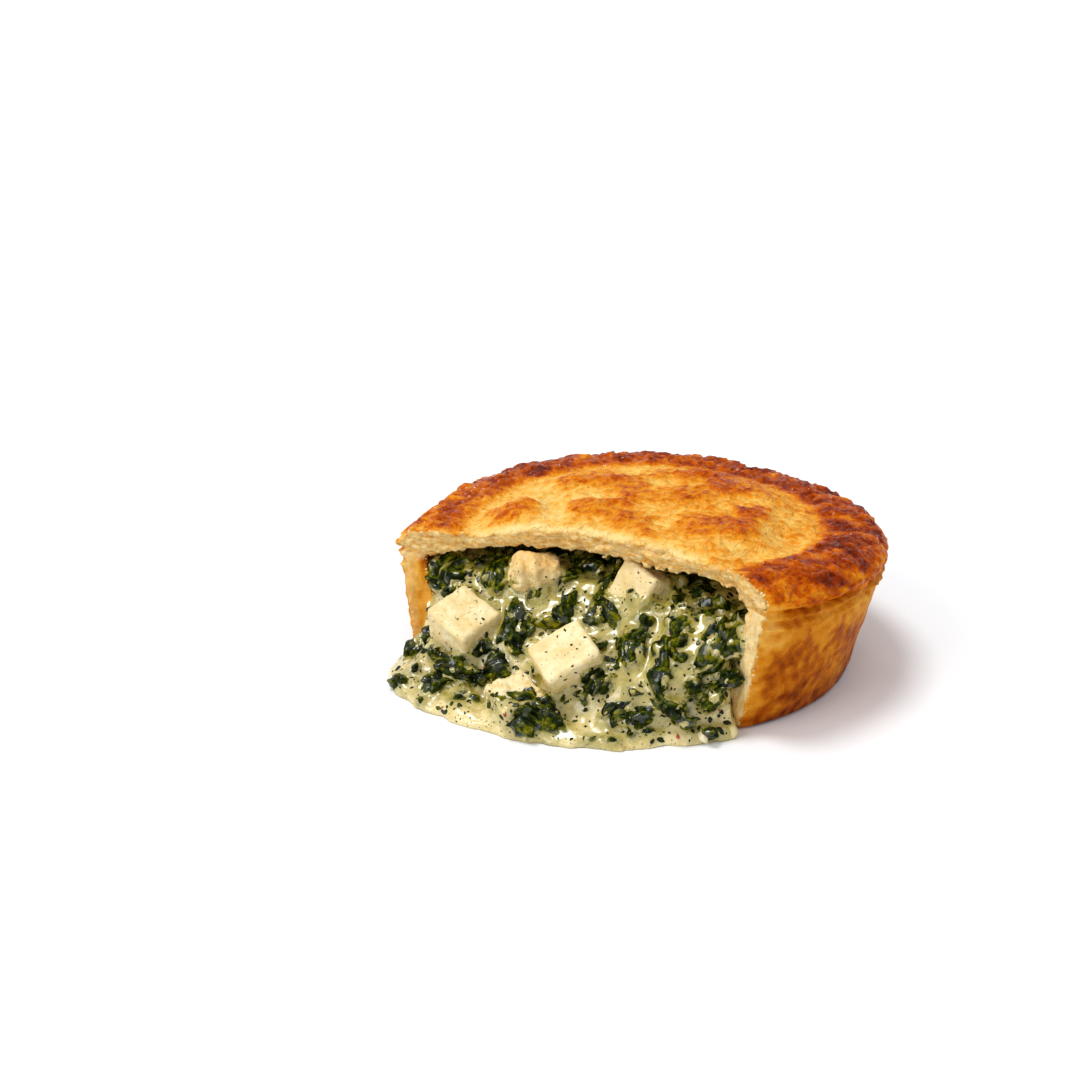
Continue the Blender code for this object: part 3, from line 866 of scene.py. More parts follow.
def lid_hills(x, y, radius):
    """Broad relief of the lid, seen from above: swellings in the middle and on the rim."""
    points = flat_points(x, y)
    hills = 0.35 * wander(points, 8.0, 6) + 0.85 * (0.45 - np.abs(wander(points, 5.5, 7)))
    hills += 0.42 * (0.4 - np.abs(wander(points, 2.7, 17)))
    for *place, height in LID_HILLS:
        hills += LID_HILL_SCALE * height * mound(x, y, *place)
    middle = 1.0 - ease(37.0, 43.0, radius)
    band = 0.6 * wander(points, 6.5, 8) + 0.25
    return hills * middle + band * (1.0 - middle)


def torn_edge(points, height):
    """How far the cut face stands proud or back: crumbs, and layers that lie in the lid."""
    lying = ease(LEDGE_TOP - 1.0, LEDGE_TOP + 2.0, height)
    torn = 0.50 * wander(points, 4.5, 1) + (0.14 + 0.26 * lying) * wander(points, 1.5, 2)
    torn += (0.07 + 0.24 * lying) * wander(points, 0.9, 3)
    torn += 0.60 * wander(points, (4.0, 4.0, 0.95), 4) * lying
    return torn + 0.22 * wander(points, (1.3, 1.3, 4.0), 5) * (1.0 - lying)


def on_top(radius, height):
    """1 on the upper side of the lid, 0 on its underside and below it."""
    middle = np.interp(radius, [0.0, 20.0, 34.0, 42.8, 47.5, 51.0, 55.0],
                       [34.5, 34.0, 31.9, 29.8, 28.9, 28.7, 28.4])
    return ease(-0.9, 0.7, height - middle)


def bubbles(points):
    """Height of the small blisters of the glazed skin."""
    large = np.abs(wander(points, 3.0, 9)) * 0.95 - 0.30
    return large + np.abs(wander(points, 1.5, 10)) * 0.55 - 0.16


def pastry_fields():
    """One field for the whole cut crust, with the values that its colours need."""
    step_x, step_y, step_z = CRUST_STEPS
    ys = np.concatenate([np.arange(-53.0, 6.0, step_y), np.arange(6.0, 58.0, CRUST_BACK_STEP)])
    grid = [np.arange(-62.5, 58.0, step_x), ys, np.arange(-1.0, 40.0, step_z)]
    x, y, z = spread_grid(grid)
    front = cut_distance(x, y)
    radius, height = turned_place(x, y, z)
    body = soft_max(Section(lid_profile()).depth(radius, height),
                    Section(case_profile()).depth(radius, height), 1.7)
    top = on_top(radius, height)
    hills = lid_hills(x[..., 0], y[..., 0], np.hypot(x, y)[..., 0])
    body = body + hills[..., None] * top
    close = np.abs(body) < 2.4
    points = grid_points(grid, close)
    r, h, t = radius[close], height[close], top[close]
    rim = ease(38.0, 43.0, r)
    relief = bubbles(points) * (0.36 + 0.62 * rim) * t
    relief += 0.26 * wander(points, 1.3, 14) * t
    east = side_share(points, -5.0, 65.0)
    relief += 0.5 * east * ease(26.5, 29.0, h) * (1.0 - ease(30.5, 32.5, h)) * ease(50.0, 53.0, r)
    relief -= 0.9 * side_share(points, 52.0, 45.0) * t * rim
    outer = ease(44.0, 47.0, r - 0.19 * h) * (1.0 - t)
    walls = 0.30 * wander(points, 7.0, 20) + 0.18 * wander(points, 2.6, 21)
    sway = 1.3 * wander(points, (14.0, 14.0, 50.0), 15)
    ledges = np.sin((h + sway) * 2.0 * math.pi / 2.7) + 1.2 * wander(points, (5.0, 5.0, 1.0), 22)
    walls += 0.46 * ledges * ease(19.5, 23.0, h) * (1.0 - ease(28.0, 29.5, h))
    relief += walls * outer * ease(0.6, 3.0, points[:, 2])
    edge = ease(4.0, 0.5, np.abs(front + 0.0 * body)[close])
    ragged = 0.45 + 0.45 * ease(24.0, 27.0, h)
    relief += ragged * wander(points, (1.6, 1.6, 1.3), 12) * edge * (1.0 - 0.8 * t)
    body[close] += relief
    behind = -(front + 0.0 * body)
    close = (np.abs(behind) < 3.0) & (body > -1.5)
    behind[close] += torn_edge(grid_points(grid, close), height[close])
    return grid, {"cut": soft_min(body, behind, CUT_ROUNDING), "body": body, "behind": behind,
                  "radius": radius, "height": height, "top": top, "front": front + 0.0 * body}


def crumb_share(points, at):
    """1 where the inside of the pastry shows, less where sauce has soaked into it."""
    crumb = ease(-0.15, 0.55, at["body"] - at["behind"])
    under_lid = 1.0 - ease(0.15, 0.5, at["top"])
    under_lid = under_lid * ease(LEDGE_TOP - 0.2, LEDGE_TOP + 0.8, at["height"])
    under_lid *= 1.0 - ease(50.0, 51.5, at["radius"])
    crumb = np.maximum(crumb, under_lid)
    wall_inside = BASE_RADIUS - WALL_THICKNESS + 5.1 * at["height"] / LEDGE_TOP
    west = ease(0.0, -20.0, points[:, 0])
    soaked = ease(4.2, 1.2, at["radius"] - wall_inside) * west
    stained = 0.60 * soaked + 0.70 * west
    crumb -= stained * ease(LEDGE_TOP + 1.0, LEDGE_TOP - 3.0, at["height"])
    return crumb


def lid_browning_and_shade(points, at):
    """How browned the lid is: its swellings and its rim most, its cut edge least, with painted
    shade in the hollows of the rim.
    """
    x, y = points[:, 0], points[:, 1]
    rim = ease(38.5, 43.0, at["radius"])
    relief = lid_hills(x, y, np.hypot(x, y))
    east = side_share(points, -10.0, 100.0)
    back = ease(4.0, 36.0, y)
    middle = 0.36 * ease(-0.3, 1.5, relief) - 0.12
    middle = middle + 0.11 * back + 0.12 * ease(8.0, 30.0, x)
    bake = 0.32 + middle * (1.0 - rim) + (0.30 + 0.13 * east + 0.10 * back) * rim
    bake -= 0.22 * rim * ease(31.0, 28.0, at["height"])
    # Painted shade on the rim: its hollows between the blisters are painted darker and the blister
    # tops paler; in the middle the raised blisters are browner, as baking browns them.
    bake += 0.22 * bubbles(points) * (1.0 - 1.6 * rim)
    bake += 0.10 * wander(points, 9.0, 13) + rim * 0.22 * wander(points, 5.0, 16)
    bake -= (0.26 - 0.06 * rim) * ease(-5.0 + 2.0 * rim, -0.5, at["front"])
    return bake


def wall_browning_and_shade(points, at):
    """How browned the case is: its foot most, under the ledge and inside least; the whole wall is
    also made darker than the lid, partly as painted shade for the side turned from the light.
    """
    height = at["height"]
    # Partly painted shade: the high starting level darkens the whole outer wall.
    bake = 0.645 + 0.14 * wander(points, 8.0, 23) + 0.16 * wander(points, 2.2, 24)
    bake -= 0.24 * ease(-6.0, -0.5, at["front"])
    bake -= 0.20 * ease(15.0, 20.0, height) * (1.0 - ease(22.8, 25.2, height))
    bake -= 0.06 * ease(23.0, 25.0, height) * (1.0 - ease(27.0, 28.4, height))
    bake += 0.14 * (1.0 - ease(0.5, 5.0, height))
    inner = 1.0 - ease(44.8, 46.2, at["radius"] - 0.19 * height)
    inner_bake = 0.26 + 0.32 * ease(15.0, 24.0, height) + 0.1 * wander(points, 3.0, 25)
    return bake * (1.0 - inner) + inner_bake * inner


def make_crust(name, node, finish, grid, fields, keep):
    """One crust piece: the part of the common field where keep is positive."""
    places, points, faces = surface_of(np.minimum(fields["cut"], keep), grid)
    at = {key: sample(field, places) for key, field in fields.items()}
    crumb = crumb_share(points, at)
    on_lid = ease(0.3, 0.8, at["top"])
    bake = lid_browning_and_shade(points, at) * on_lid + wall_browning_and_shade(points, at) * (1.0 - on_lid)
    ragged = ease(1.3, 0.3, np.maximum(at["body"], at["behind"])) * ease(3.0, 6.0, points[:, 2])
    glaze = 0.12 + 0.88 * ease(25.5, 28.5, at["height"])
    piece = make_piece(name, points, faces, finish, {"bake": bake, "crumb": crumb, "glaze": glaze})
    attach(piece, "root")
    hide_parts(node)
    return piece, (points, faces, ragged)


def merge_flat_faces(piece):
    """Join the flat faces at the bottom, which nothing shows."""
    mesh = bmesh.new()
    mesh.from_mesh(piece.data)
    flat = [f for f in mesh.faces
            if abs(f.normal.z) > 0.99999 and f.calc_center_median().z < 4.0 * MM]
    bmesh.ops.dissolve_faces(mesh, faces=flat, use_verts=True)
    mesh.to_mesh(piece.data)
    mesh.free()


# --- cheese ------------------------------------------------------------------------

def turn_matrix(turn):
    return np.array(Euler([math.radians(a) for a in turn]).to_matrix())


def cube_depth(x, y, z, centre, edges, turn, rounding):
    """Depth inside a turned cube with rounded edges."""
    spin = turn_matrix(turn)
    offset = [x - centre[0], y - centre[1], z - centre[2]]
    over = []
    for i in range(3):
        along = sum(spin[j, i] * offset[j] for j in range(3))
        over.append(np.abs(along) - edges[i] / 2.0 + rounding)
    beyond = np.sqrt(sum(np.maximum(o, 0.0) ** 2 for o in over))
    within = np.minimum(np.maximum(np.maximum(over[0], over[1]), over[2]), 0.0)
    return rounding - beyond - within


def lump_depth(x, y, z):
    """Depth inside the torn lump: a worn block with upright creases."""
    offset = [v - c for v, c in zip((x, y, z), LUMP_CENTRE)]
    depth = cube_depth(x, y, z, LUMP_CENTRE, LUMP_SIZES, LUMP_TURN, LUMP_ROUNDING)
    crease = np.exp(-((offset[0] + 1.2 + 0.2 * offset[2]) / 0.8) ** 2) * 0.9
    ridge = np.exp(-((offset[0] - 0.9 + 0.2 * offset[2]) / 1.1) ** 2) * 0.8
    return depth + (ridge - crease) * ease(1.0, -2.5, offset[1])


def cheese_depths(x, y, z):
    """Depth inside each piece of cheese, by name."""
    depths = {}
    for name, (centre, edges, turn) in CHEESE_CUBES.items():
        unworn = [edge + WORN_OFF for edge in edges]
        depths[name] = cube_depth(x, y, z, centre, unworn, turn, CUBE_ROUNDING)
    depths[CHEESE_LUMP] = lump_depth(x, y, z)
    return depths


def make_cheese(finish):
    """The five pieces of cheese; returns their surfaces, for the herbs on them."""
    boxes = {name: (centre, CUBE_GRID_HALF) for name, (centre, _, _) in CHEESE_CUBES.items()}
    boxes[CHEESE_LUMP] = (LUMP_CENTRE, LUMP_GRID_HALF)
    surfaces = []
    for seed, (name, (centre, half)) in enumerate(boxes.items()):
        grid = block([c - half for c in centre], [c + half for c in centre], CHEESE_STEP)
        depth = cheese_depths(*spread_grid(grid))[name]
        close = np.abs(depth) < 2.4
        points = grid_points(grid, close)
        worn = 0.24 * wander(points, 3.6, 30 + seed) + 0.13 * wander(points, 1.4, 31)
        worn += 0.09 * wander(points, 0.7, 32)
        depth[close] += worn * CHEESE_WEAR.get(name, 1.0)
        if name == BURIED_CUBE:
            depth = np.minimum(depth, 0.2 - clump_field(grid)[0])
        _, points, faces = surface_of(depth, grid)
        above = points[:, 2] - fill_height(points[:, 0], points[:, 1])
        wet = 1.0 - ease(0.0, 3.0, above + 1.2 * wander(points, 2.5, 33))
        # Partly painted shade: the pieces under the lid are tinted warmer, and the top of the
        # lump, close under it, most of all.
        warm = np.full(len(points), CHEESE_WARMTH_AND_SHADE.get(name, 0.0))
        if name == CHEESE_LUMP:
            warm += 0.45 * ease(25.0, 29.5, points[:, 2] + wander(points, 3.0, 35))
        warm += 0.2 * ease(0.2, 0.9, wander(points, 4.0, 34 + seed))
        piece = make_piece(name + "_crumbly", points, faces, finish, {"wet": wet, "warm": warm})
        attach(piece, "root")
        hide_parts(name)
        surfaces.append((points, faces, 0.4 * ease(0.0, 1.5, above)))
    return surfaces


# --- filling ----------------------------------------------------------------------

def surface_frame(x, y, turn):
    """Height of the filling at a place, with axes along, across and out of it."""
    step = 0.8
    xs = np.array([x, x + step, x - step, x, x])
    ys = np.array([y, y, y, y + step, y - step])
    h = mounded_height(xs, ys)
    slope_x, slope_y = (h[1] - h[2]) / (2 * step), (h[3] - h[4]) / (2 * step)
    normal = Vector((-slope_x, -slope_y, 1.0)).normalized()
    angle = math.radians(turn)
    along = Vector((math.cos(angle), math.sin(angle), 0.0))
    along = (along - normal * along.dot(normal)).normalized()
    return float(h[0]), along, normal.cross(along), normal


def strewn_clumps(count, fronts, lengths, seed):
    """More clumps at random, between two distances in front of the cut."""
    random = np.random.RandomState(seed)
    clumps = []
    while len(clumps) < count:
        x, y = random.uniform(-60.0, 24.0), random.uniform(-52.0, 8.0)
        front = float(cut_distance(np.array([x]), np.array([y]))[0])
        reach = float(fill_reach(np.arctan2(y, x), FILL_LEVEL))
        if fronts[0] < front < fronts[1] and math.hypot(x, y) < reach - 6.0:
            length = random.uniform(*lengths)
            clumps.append((x, y, length, length * random.uniform(0.5, 0.85),
                           random.uniform(0.0, 180.0)))
    return clumps


def all_clumps():
    under_lid = strewn_clumps(24, (-15.0, -3.0), (2.4, 4.8), 8)
    return SPINACH_CLUMPS + under_lid + strewn_clumps(80, (-6.0, 36.0), (1.0, 2.6), 9)


def clump_field(grid):
    """Depth inside the wilted spinach, how high its folds stand, and the way across them."""
    field = np.full([len(line) for line in grid], -9.0)
    fold, way = np.zeros(field.shape), np.zeros(field.shape)
    for number, (x, y, length, width, turn) in enumerate(all_clumps()):
        height, along, across, out = surface_frame(x, y, turn)
        thick = min(CLUMP_DEPTH, 0.95 * min(width, length) + 0.9)
        centre = np.array((x, y, height)) + np.array(out) * (CLUMP_RISE - 0.55 * thick + 0.3)
        reach = max(length, width) + 3.0
        window = []
        for line, c in zip(grid, centre):
            low, high = np.searchsorted(line, (c - reach, c + reach))
            window.append(slice(low, high))
        part = [line[w] for line, w in zip(grid, window)]
        if min(len(line) for line in part) < 3:
            continue
        gx, gy, gz = np.meshgrid(*part, indexing="ij")
        offset = [gx - centre[0], gy - centre[1], gz - centre[2]]
        local = [sum(axis[i] * offset[i] for i in range(3)) for axis in (along, across, out)]
        sizes = (length * 1.05, width * 1.05, thick)
        size = min(width, length, thick)
        depth = (1.0 - np.sqrt(sum((v / s) ** 2 for v, s in zip(local, sizes)))) * size
        close = depth > -3.0
        points = np.stack([g[close] for g in (gx, gy, gz)], axis=-1)
        bend = wander(points, 3.4, 40) * 1.5
        pleats = np.abs(np.sin((local[1][close] + bend) * math.pi / 2.3 + number))
        crumple = 1.0 - 2.0 * np.abs(wander(points, 3.2, 41))
        shape = 1.1 * wander(points, 4.0, 42) + 0.75 * (pleats - 0.5) + 0.45 * crumple
        grown = np.full(depth.shape, -9.0)
        grown[close] = depth[close] - 0.35 + shape * min(1.0, size / 2.0)
        rise = np.zeros(depth.shape)
        rise[close] = 0.55 * pleats + 0.4 * crumple
        before = field[tuple(window)]
        fold[tuple(window)] = np.where(grown > before, rise, fold[tuple(window)])
        way[tuple(window)] = np.where(grown > before, local[1], way[tuple(window)])
        field[tuple(window)] = np.maximum(before, grown)
    return field, fold, way


def case_depth(x, y, z):
    """Depth inside the plain cut case."""
    radius, height = turned_place(x, y, z)
    return np.minimum(Section(case_profile()).depth(radius, height), -cut_distance(x, y))


def shown_share(points):
    """1 where the filling can be seen, 0 far under the lid."""
    return ease(-17.0, -9.0, cut_distance(points[:, 0], points[:, 1]))


def make_spinach(finish):
    grid = block((-62.0, -57.0, 0.0), (25.0, 2.0, 30.0), SPINACH_STEP)
    field, fold, way = clump_field(grid)
    x, y, z = spread_grid(grid)
    field = np.minimum(field, 0.3 - case_depth(x, y, z))
    for name, depth in cheese_depths(x, y, z).items():
        if name != BURIED_CUBE:
            field = np.minimum(field, -depth - 0.1)
    field = np.minimum(field, z - 0.3)
    level = mounded_height(x[..., 0], y[..., 0])[..., None]
    field = np.minimum(field, z - level + 1.7)
    places, points, faces = surface_of(field, grid, SMALLEST_LEAF)
    points = smooth(points, faces, rounds=2)
    above = points[:, 2] - mounded_height(points[:, 0], points[:, 1])
    film = 1.0 - ease(0.0, 2.0, above)
    layers = {"fold": sample(fold, places), "film": film, "across": sample(way, places)}
    piece = make_piece("spinach_clumps", points, faces, finish, layers)
    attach(piece, "root")
    return points, faces, ease(0.0, 0.8, above) * shown_share(points)


def cream_outline(x, y):
    """Height of the sauce seen from above, and how far places lie past its outline."""
    level = mounded_height(x, y)
    spots = flat_points(x, y)
    level = level + 0.6 * wander(spots, 7.0, 50) + 0.55 * wander(spots, 3.0, 51)
    level += 0.5 * (0.4 - np.abs(wander(spots, 2.2, 55)))
    angle = np.arctan2(y, x)
    lobes = 1.3 * wander(spots, 8.0, 52) + 0.7 * wander(spots, 3.5, 56)
    lobes = np.where(is_open(angle), lobes, 0.0)
    past = np.hypot(x, y) - fill_reach(angle, FILL_LEVEL) - lobes
    edge = np.clip(-past, 0.0, None)
    lip = POOL_DEPTH * np.sqrt(1.0 - (1.0 - np.minimum(edge / 4.0, 1.0)) ** 2) + 0.35
    lip = np.minimum(level, lip + 24.0 * ease(3.0, 8.0, edge))
    return np.where(is_open(angle), lip, level), past


def make_cream(finish):
    """The sauce: it climbs the cheese and laps over parts of the spinach."""
    step, hidden = CREAM_STEP, CREAM_HIDDEN_STEP
    xs = np.concatenate([np.arange(-67.0, 26.0, step), np.arange(26.4, 51.0, hidden)])
    ys = np.concatenate([np.arange(-61.0, -2.0, step), np.arange(-1.6, 50.5, hidden)])
    grid = [xs, ys, np.arange(-1.0, 30.0, step)]
    x, y, z = spread_grid(grid)
    level, past = cream_outline(x[..., 0], y[..., 0])
    field = level[..., None] - z
    clumps, _, _ = clump_field(grid)
    clumps = np.maximum(clumps, -3.0)
    close = (clumps > -2.0) & (clumps < 2.5)
    points = grid_points(grid, close)
    cover = 0.95 * wander(points, 3.0, 53) + 0.55 * wander(points, 1.3, 54)
    cover += 0.22 * ease(-8.0, 8.0, points[:, 0]) - 0.40
    cover -= mound(points[:, 0], points[:, 1], *BARE_LEAF)
    lapped = clumps - 0.9
    lapped[close] = clumps[close] + np.minimum(cover, 0.35)
    field = soft_max(field, lapped, 1.7)
    for name, depth in cheese_depths(x, y, z).items():
        if name == BURIED_CUBE:
            depth = np.minimum(depth, -0.4 - clumps)
            field = soft_max(field, depth + 0.2 - 1.3 * ease(7.4, 9.2, z), 2.6)
        else:
            field = soft_max(field, depth - 0.75, 3.6)
    angle = np.arctan2(y, x)
    within_wall = fill_reach(angle, z) - np.hypot(x, y)
    field = np.minimum(field, np.where(is_open(angle), 9.0, within_wall))
    field = soft_min(field, -past[..., None] + 0.0 * field, 0.6)
    inside = ease(-0.8, -2.0, cut_distance(x, y)) * (FLOOR_THICKNESS - 0.4)
    field = np.minimum(field, z - inside)
    places, points, faces = surface_of(field, grid)
    above_table = points[:, 2] > 0.6
    points[above_table] = smooth(points, faces, rounds=5)[above_table]
    x, y = points[:, 0], points[:, 1]
    outward = fill_reach(np.arctan2(y, x), FILL_LEVEL) - np.hypot(x, y)
    layers = {"leaf": sample(clumps, places), "inside": ease(1.0, 12.0, outward)}
    piece = make_piece("cream_sauce_body", points, faces, finish, layers)
    merge_flat_faces(piece)
    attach(piece, "root")
    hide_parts("filling")
    shown = shown_share(points) * ease(0.8, 1.6, points[:, 2])
    return points, faces, shown


# --- scattered bits -------------------------------------------------------------------

def plate(length, width, thickness, bend, seed, rows=6, columns=5):
    """A small crumpled leaf: points in millimetres and four-sided faces."""
    u, v = np.meshgrid(np.linspace(-1.0, 1.0, rows), np.linspace(-1.0, 1.0, columns),
                       indexing="ij")
    outline = (1.0 - 0.82 * u ** 2) ** 0.7
    flat = np.stack([length * u, width * v * outline, 0.0 * u], axis=-1)
    flat[..., 0] += 0.25 * length * wander(flat, 0.7 * length, seed)
    flat[..., 1] += 0.30 * width * wander(flat, 0.9 * width, seed + 1)
    lift = bend * (0.8 * v ** 2 - 0.5 * u ** 2) + 0.5 * bend * np.cos(3.4 * v + seed)
    lift += bend * wander(flat, 0.8 * width, seed + 2)
    top, under = flat.copy(), flat.copy()
    top[..., 2] = lift + thickness / 2.0
    under[..., 2] = lift - thickness / 2.0
    points = np.concatenate([top.reshape(-1, 3), under.reshape(-1, 3)])
    index = np.arange(rows * columns).reshape(rows, columns)
    quads = [index[:-1, :-1], index[1:, :-1], index[1:, 1:], index[:-1, 1:]]
    quads = np.stack(quads, axis=-1).reshape(-1, 4)
    ring = np.concatenate([index[:-1, 0], index[-1, :-1], index[:0:-1, -1], index[0, :0:-1]])
    after = np.roll(ring, -1)
    count = rows * columns
    sides = np.stack([after, ring, ring + count, after + count], axis=-1)
    return points, np.concatenate([quads, quads[:, ::-1] + count, sides])


def nugget(sizes, rough, seed, fineness=1):
    """A small uneven lump: points in millimetres and triangles."""
    mesh = bmesh.new()
    bmesh.ops.create_icosphere(mesh, subdivisions=fineness + 1, radius=1.0)
    points = np.array([v.co for v in mesh.verts])
    faces = np.array([[v.index for v in f.verts] for f in mesh.faces])
    mesh.free()
    points *= (1.0 + rough * wander(points, 0.8, seed))[:, None]
    return points * np.array(sizes), faces


def strewing_tree(name, box, shape_count, finish):
    """Geometry Nodes that strew the shapes of a collection over a surface."""
    tree = bpy.data.node_groups.new(name + "_strewn", "GeometryNodeTree")
    for socket, kind in (("Surface", "Geometry"), ("Density", "Float"), ("Seed", "Int"),
                         ("Smallest", "Float"), ("Largest", "Float"), ("Tilt", "Float"),
                         ("Sink", "Float")):
        tree.interface.new_socket(socket, in_out="INPUT", socket_type="NodeSocket" + kind)
    tree.interface.new_socket("Bits", in_out="OUTPUT", socket_type="NodeSocketGeometry")
    g = Nodes(tree)
    given = tree.nodes.new("NodeGroupInput")
    values = {socket.name: Signal(g, socket) for socket in given.outputs if socket.name}
    share = g.node("GeometryNodeInputNamedAttribute", {"data_type": "FLOAT"}, {"Name": "share"})
    spots, normal, rotation = g.node("GeometryNodeDistributePointsOnFaces", {}, {
        "Mesh": values["Surface"], "Density": values["Density"] * share,
        "Seed": values["Seed"]}, output=(0, 1, 2))

    def chance(kind, low, high, extra):
        slots = {"FLOAT": (2, 3, 1), "INT": (4, 5, 2)}[kind]
        return g.node("FunctionNodeRandomValue", {"data_type": kind}, {
            slots[0]: low, slots[1]: high, "Seed": values["Seed"] + extra}, output=slots[2])

    turn = chance("FLOAT", 0.0, 2.0 * math.pi, 1)
    lean_x = chance("FLOAT", 0.0 - values["Tilt"], values["Tilt"], 2)
    lean_y = chance("FLOAT", 0.0 - values["Tilt"], values["Tilt"], 3)
    size = chance("FLOAT", values["Smallest"], values["Largest"], 4)
    shade = chance("FLOAT", 0.0, 1.0, 5)
    pick = chance("INT", 0, shape_count - 1, 6)
    spin = g.node("CombineXYZ", {}, {0: lean_x, 1: lean_y, 2: turn})
    downward = g.node("VectorMath", {"operation": "SCALE"}, {0: normal, 3: 0.0 - values["Sink"]})
    rotation = g.node("FunctionNodeRotateRotation", {"rotation_space": "LOCAL"},
                      {0: rotation, 1: spin})
    spots = g.node("GeometryNodeSetPosition", {}, {"Geometry": spots, "Offset": downward})
    kinds = g.node("GeometryNodeCollectionInfo", {}, {
        "Collection": box, "Separate Children": True, "Reset Children": True})
    bits = g.node("GeometryNodeInstanceOnPoints", {}, {
        "Points": spots, "Instance": kinds, "Pick Instance": True, "Instance Index": pick,
        "Rotation": rotation, "Scale": size})
    bits = g.node("GeometryNodeStoreNamedAttribute", {"data_type": "FLOAT", "domain": "INSTANCE"},
                  {"Geometry": bits, "Name": "shade", "Value": shade})
    bits = g.node("GeometryNodeRealizeInstances", {}, {0: bits})
    bits = g.node("GeometryNodeSetMaterial", {}, {"Geometry": bits, "Material": finish})
    g.put(tree.nodes.new("NodeGroupOutput").inputs[0], bits)
    return tree


def scatter(name, bases, shapes, finish, density, sizes, tilt, sink, seed):
    """Bits of one kind, strewn by Geometry Nodes on surfaces with a share at each point."""
    start = 0
    parts = []
    for points, faces, share in bases:
        parts.append((points, faces + start, share))
        start += len(points)
    points, faces, share = (np.concatenate(part) for part in zip(*parts))
    ground = make_piece(name + "_ground", points, faces, finish, {"share": share})
    box = bpy.data.collections.new(name + "_shapes")
    for number, (shape_points, shape_faces) in enumerate(shapes):
        shape = make_piece(f"{name}_shape_{number}", shape_points, shape_faces, finish)
        bpy.context.scene.collection.objects.unlink(shape)
        box.objects.link(shape)
    tree = strewing_tree(name, box, len(shapes), finish)
    modifier = ground.modifiers.new(name, "NODES")
    modifier.node_group = tree
    wanted = {"Density": density / MM ** 2, "Seed": seed, "Smallest": sizes[0],
              "Largest": sizes[1], "Tilt": tilt, "Sink": sink * MM}
    for socket in tree.interface.items_tree:
        if socket.in_out == "INPUT" and socket.name in wanted:
            modifier[socket.identifier] = wanted[socket.name]
    ground.update_tag()
    graph = bpy.context.evaluated_depsgraph_get()
    mesh = bpy.data.meshes.new_from_object(ground.evaluated_get(graph))
    mesh.name = name
    piece = bpy.data.objects.new(name, mesh)
    bpy.context.scene.collection.objects.link(piece)
    for helper in [ground, *box.objects]:
        bpy.data.objects.remove(helper)
    bpy.data.collections.remove(box)
    mesh.shade_smooth()
    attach(piece, "root")


def strew_bits(leaves, cream, cheese, edges):
    """The loose bits, kind by kind: densities per square millimetre, sizes as factors."""
    flaps = [plate(1.9, 1.2, 0.26, 0.55, 60 + i) for i in range(6)]
    scatter("spinach_leaf_bits", [leaves], flaps,
            leaf_finish("leaf_bits"),
            density=0.008, sizes=(0.5, 1.1), tilt=0.35, sink=0.2, seed=3)
    chips = [nugget((0.7, 0.42, 0.13), 1.1, 70 + i, fineness=0) for i in range(5)]
    scatter("chopped_herbs", [cream, *cheese], chips,
            leaf_finish("chopped_leaf"),
            density=0.16, sizes=(0.2, 0.75), tilt=0.3, sink=0.0, seed=4)
    torn = [plate(1.4, 0.85, 0.3, 0.06, 75 + i, rows=5, columns=4) for i in range(6)]
    scatter("torn_spinach", [cream], torn,
            leaf_finish("torn_leaf"),
            density=0.08, sizes=(0.2, 0.7), tilt=0.25, sink=0.0, seed=7)
    crumbs = [nugget((0.7, 0.42, 0.22), 0.95, 80 + i) for i in range(5)]
    scatter("pastry_crumbs", edges, crumbs,
            bit_finish("loose_crumb", srgb(238, 190, 108), srgb(252, 226, 164), 0.8),
            density=0.55, sizes=(0.25, 0.75), tilt=0.7, sink=0.10, seed=5)
    curds = [nugget((1.3, 1.0, 0.8), 0.5, 90 + i) for i in range(4)]
    scatter("cheese_bits", [cream], curds,
            bit_finish("cheese_crumb", srgb(226, 206, 140), srgb(250, 240, 204), 0.5),
            density=0.004, sizes=(0.4, 1.3), tilt=0.6, sink=0.4, seed=6)
    flecks = [plate(0.8, 0.5, 0.2, 0.25, 95 + i, rows=4, columns=3) for i in range(3)]
    scatter("chilli_flecks", [cream], flecks,
            bit_finish("chilli_fleck", srgb(112, 20, 10), srgb(186, 62, 30), 0.35),
            density=0.003, sizes=(0.4, 0.9), tilt=0.3, sink=0.02, seed=8)


# --- picture ------------------------------------------------------------------------

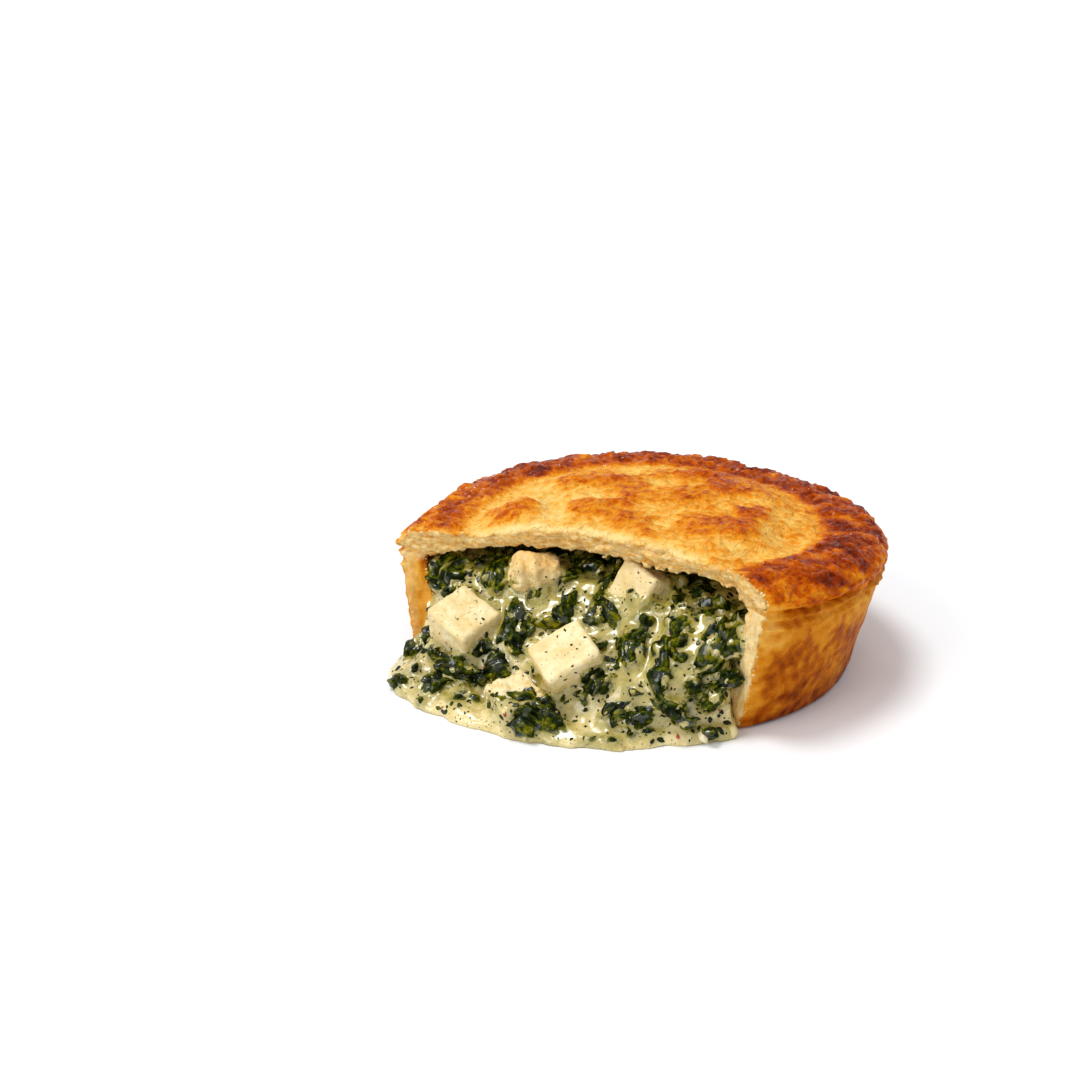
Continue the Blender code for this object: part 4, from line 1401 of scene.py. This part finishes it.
def make_camera():
    du = (PIE_PIXEL[0] - FRAME_PIXELS / 2.0) / FOCAL_PIXELS
    dv = (PIE_PIXEL[1] - FRAME_PIXELS / 2.0) / FOCAL_PIXELS
    pitch = VIEW_ANGLE - math.atan(dv)
    yaw = -math.atan(du)
    ahead = Vector((math.sin(yaw) * math.cos(pitch), math.cos(yaw) * math.cos(pitch),
                    -math.sin(pitch)))
    right = Vector((math.cos(yaw), -math.sin(yaw), 0.0))
    up = right.cross(ahead)
    data = bpy.data.cameras.new("camera")
    data.sensor_width = SENSOR_WIDTH
    data.lens = FOCAL_PIXELS / FRAME_PIXELS * SENSOR_WIDTH
    camera = bpy.data.objects.new("camera", data)
    matrix = Matrix((right, up, -ahead)).transposed().to_4x4()
    away = Vector((0.0, -math.cos(VIEW_ANGLE), math.sin(VIEW_ANGLE)))
    matrix.translation = VIEW_DISTANCE * away
    camera.matrix_world = matrix
    bpy.context.scene.collection.objects.link(camera)
    bpy.context.scene.camera = camera


def make_sun(name, direction, strength, angle, colour):
    """A soft distant light that shines from a direction."""
    data = bpy.data.lights.new(name, "SUN")
    data.energy = strength
    data.angle = math.radians(angle)
    data.color = colour
    light = bpy.data.objects.new(name, data)
    light.rotation_euler = Vector(direction).to_track_quat("Z", "Y").to_euler()
    bpy.context.scene.collection.objects.link(light)


def make_studio():
    f = Finish("white_table")
    tone = f.cloud(400.0, 1.0, 0.5)
    colour = f.mix(tone, srgb(246, 247, 249), srgb(250, 251, 252))
    table_finish = f.done(Base_Color=colour, Roughness=0.7)
    corners = np.array([(x * TABLE_HALF, y * TABLE_HALF, 0.0)
                        for x, y in ((-1, -1), (1, -1), (1, 1), (-1, 1))])
    table = make_piece("white_table", corners, np.array([[0, 1, 2, 3]]), table_finish)
    world = bpy.data.worlds.new("soft_room")
    world.use_nodes = True
    background = world.node_tree.nodes["Background"]
    background.inputs["Color"].default_value = ROOM_COLOUR
    background.inputs["Strength"].default_value = ROOM_LIGHT
    bpy.context.scene.world = world
    for name, light in LIGHTS.items():
        make_sun(name, *light)
    bpy.context.scene.view_settings.view_transform = "Standard"


def main():
    make_camera()
    make_studio()
    grid, fields = pastry_fields()
    above_seam = fields["height"] - LEDGE_TOP
    glazed = pastry_finish("glazed_lid", LID_BROWNING, LID_CRUMB, 3.2)
    _, lid_edge = make_crust("lid_crust", "pastry_lid", glazed, grid, fields,
                             above_seam + SEAM_LAP)
    baked = pastry_finish("baked_case", CASE_BROWNING_AND_SHADE, CASE_CRUMB, 0.5)
    case, case_edge = make_crust("case_crust", "pastry_case", baked, grid, fields,
                                 SEAM_LAP - above_seam)
    merge_flat_faces(case)
    cheese = make_cheese(cheese_finish())
    leaves = make_spinach(spinach_finish())
    cream = make_cream(cream_finish())
    strew_bits(leaves, cream, cheese, [lid_edge, case_edge])


main()
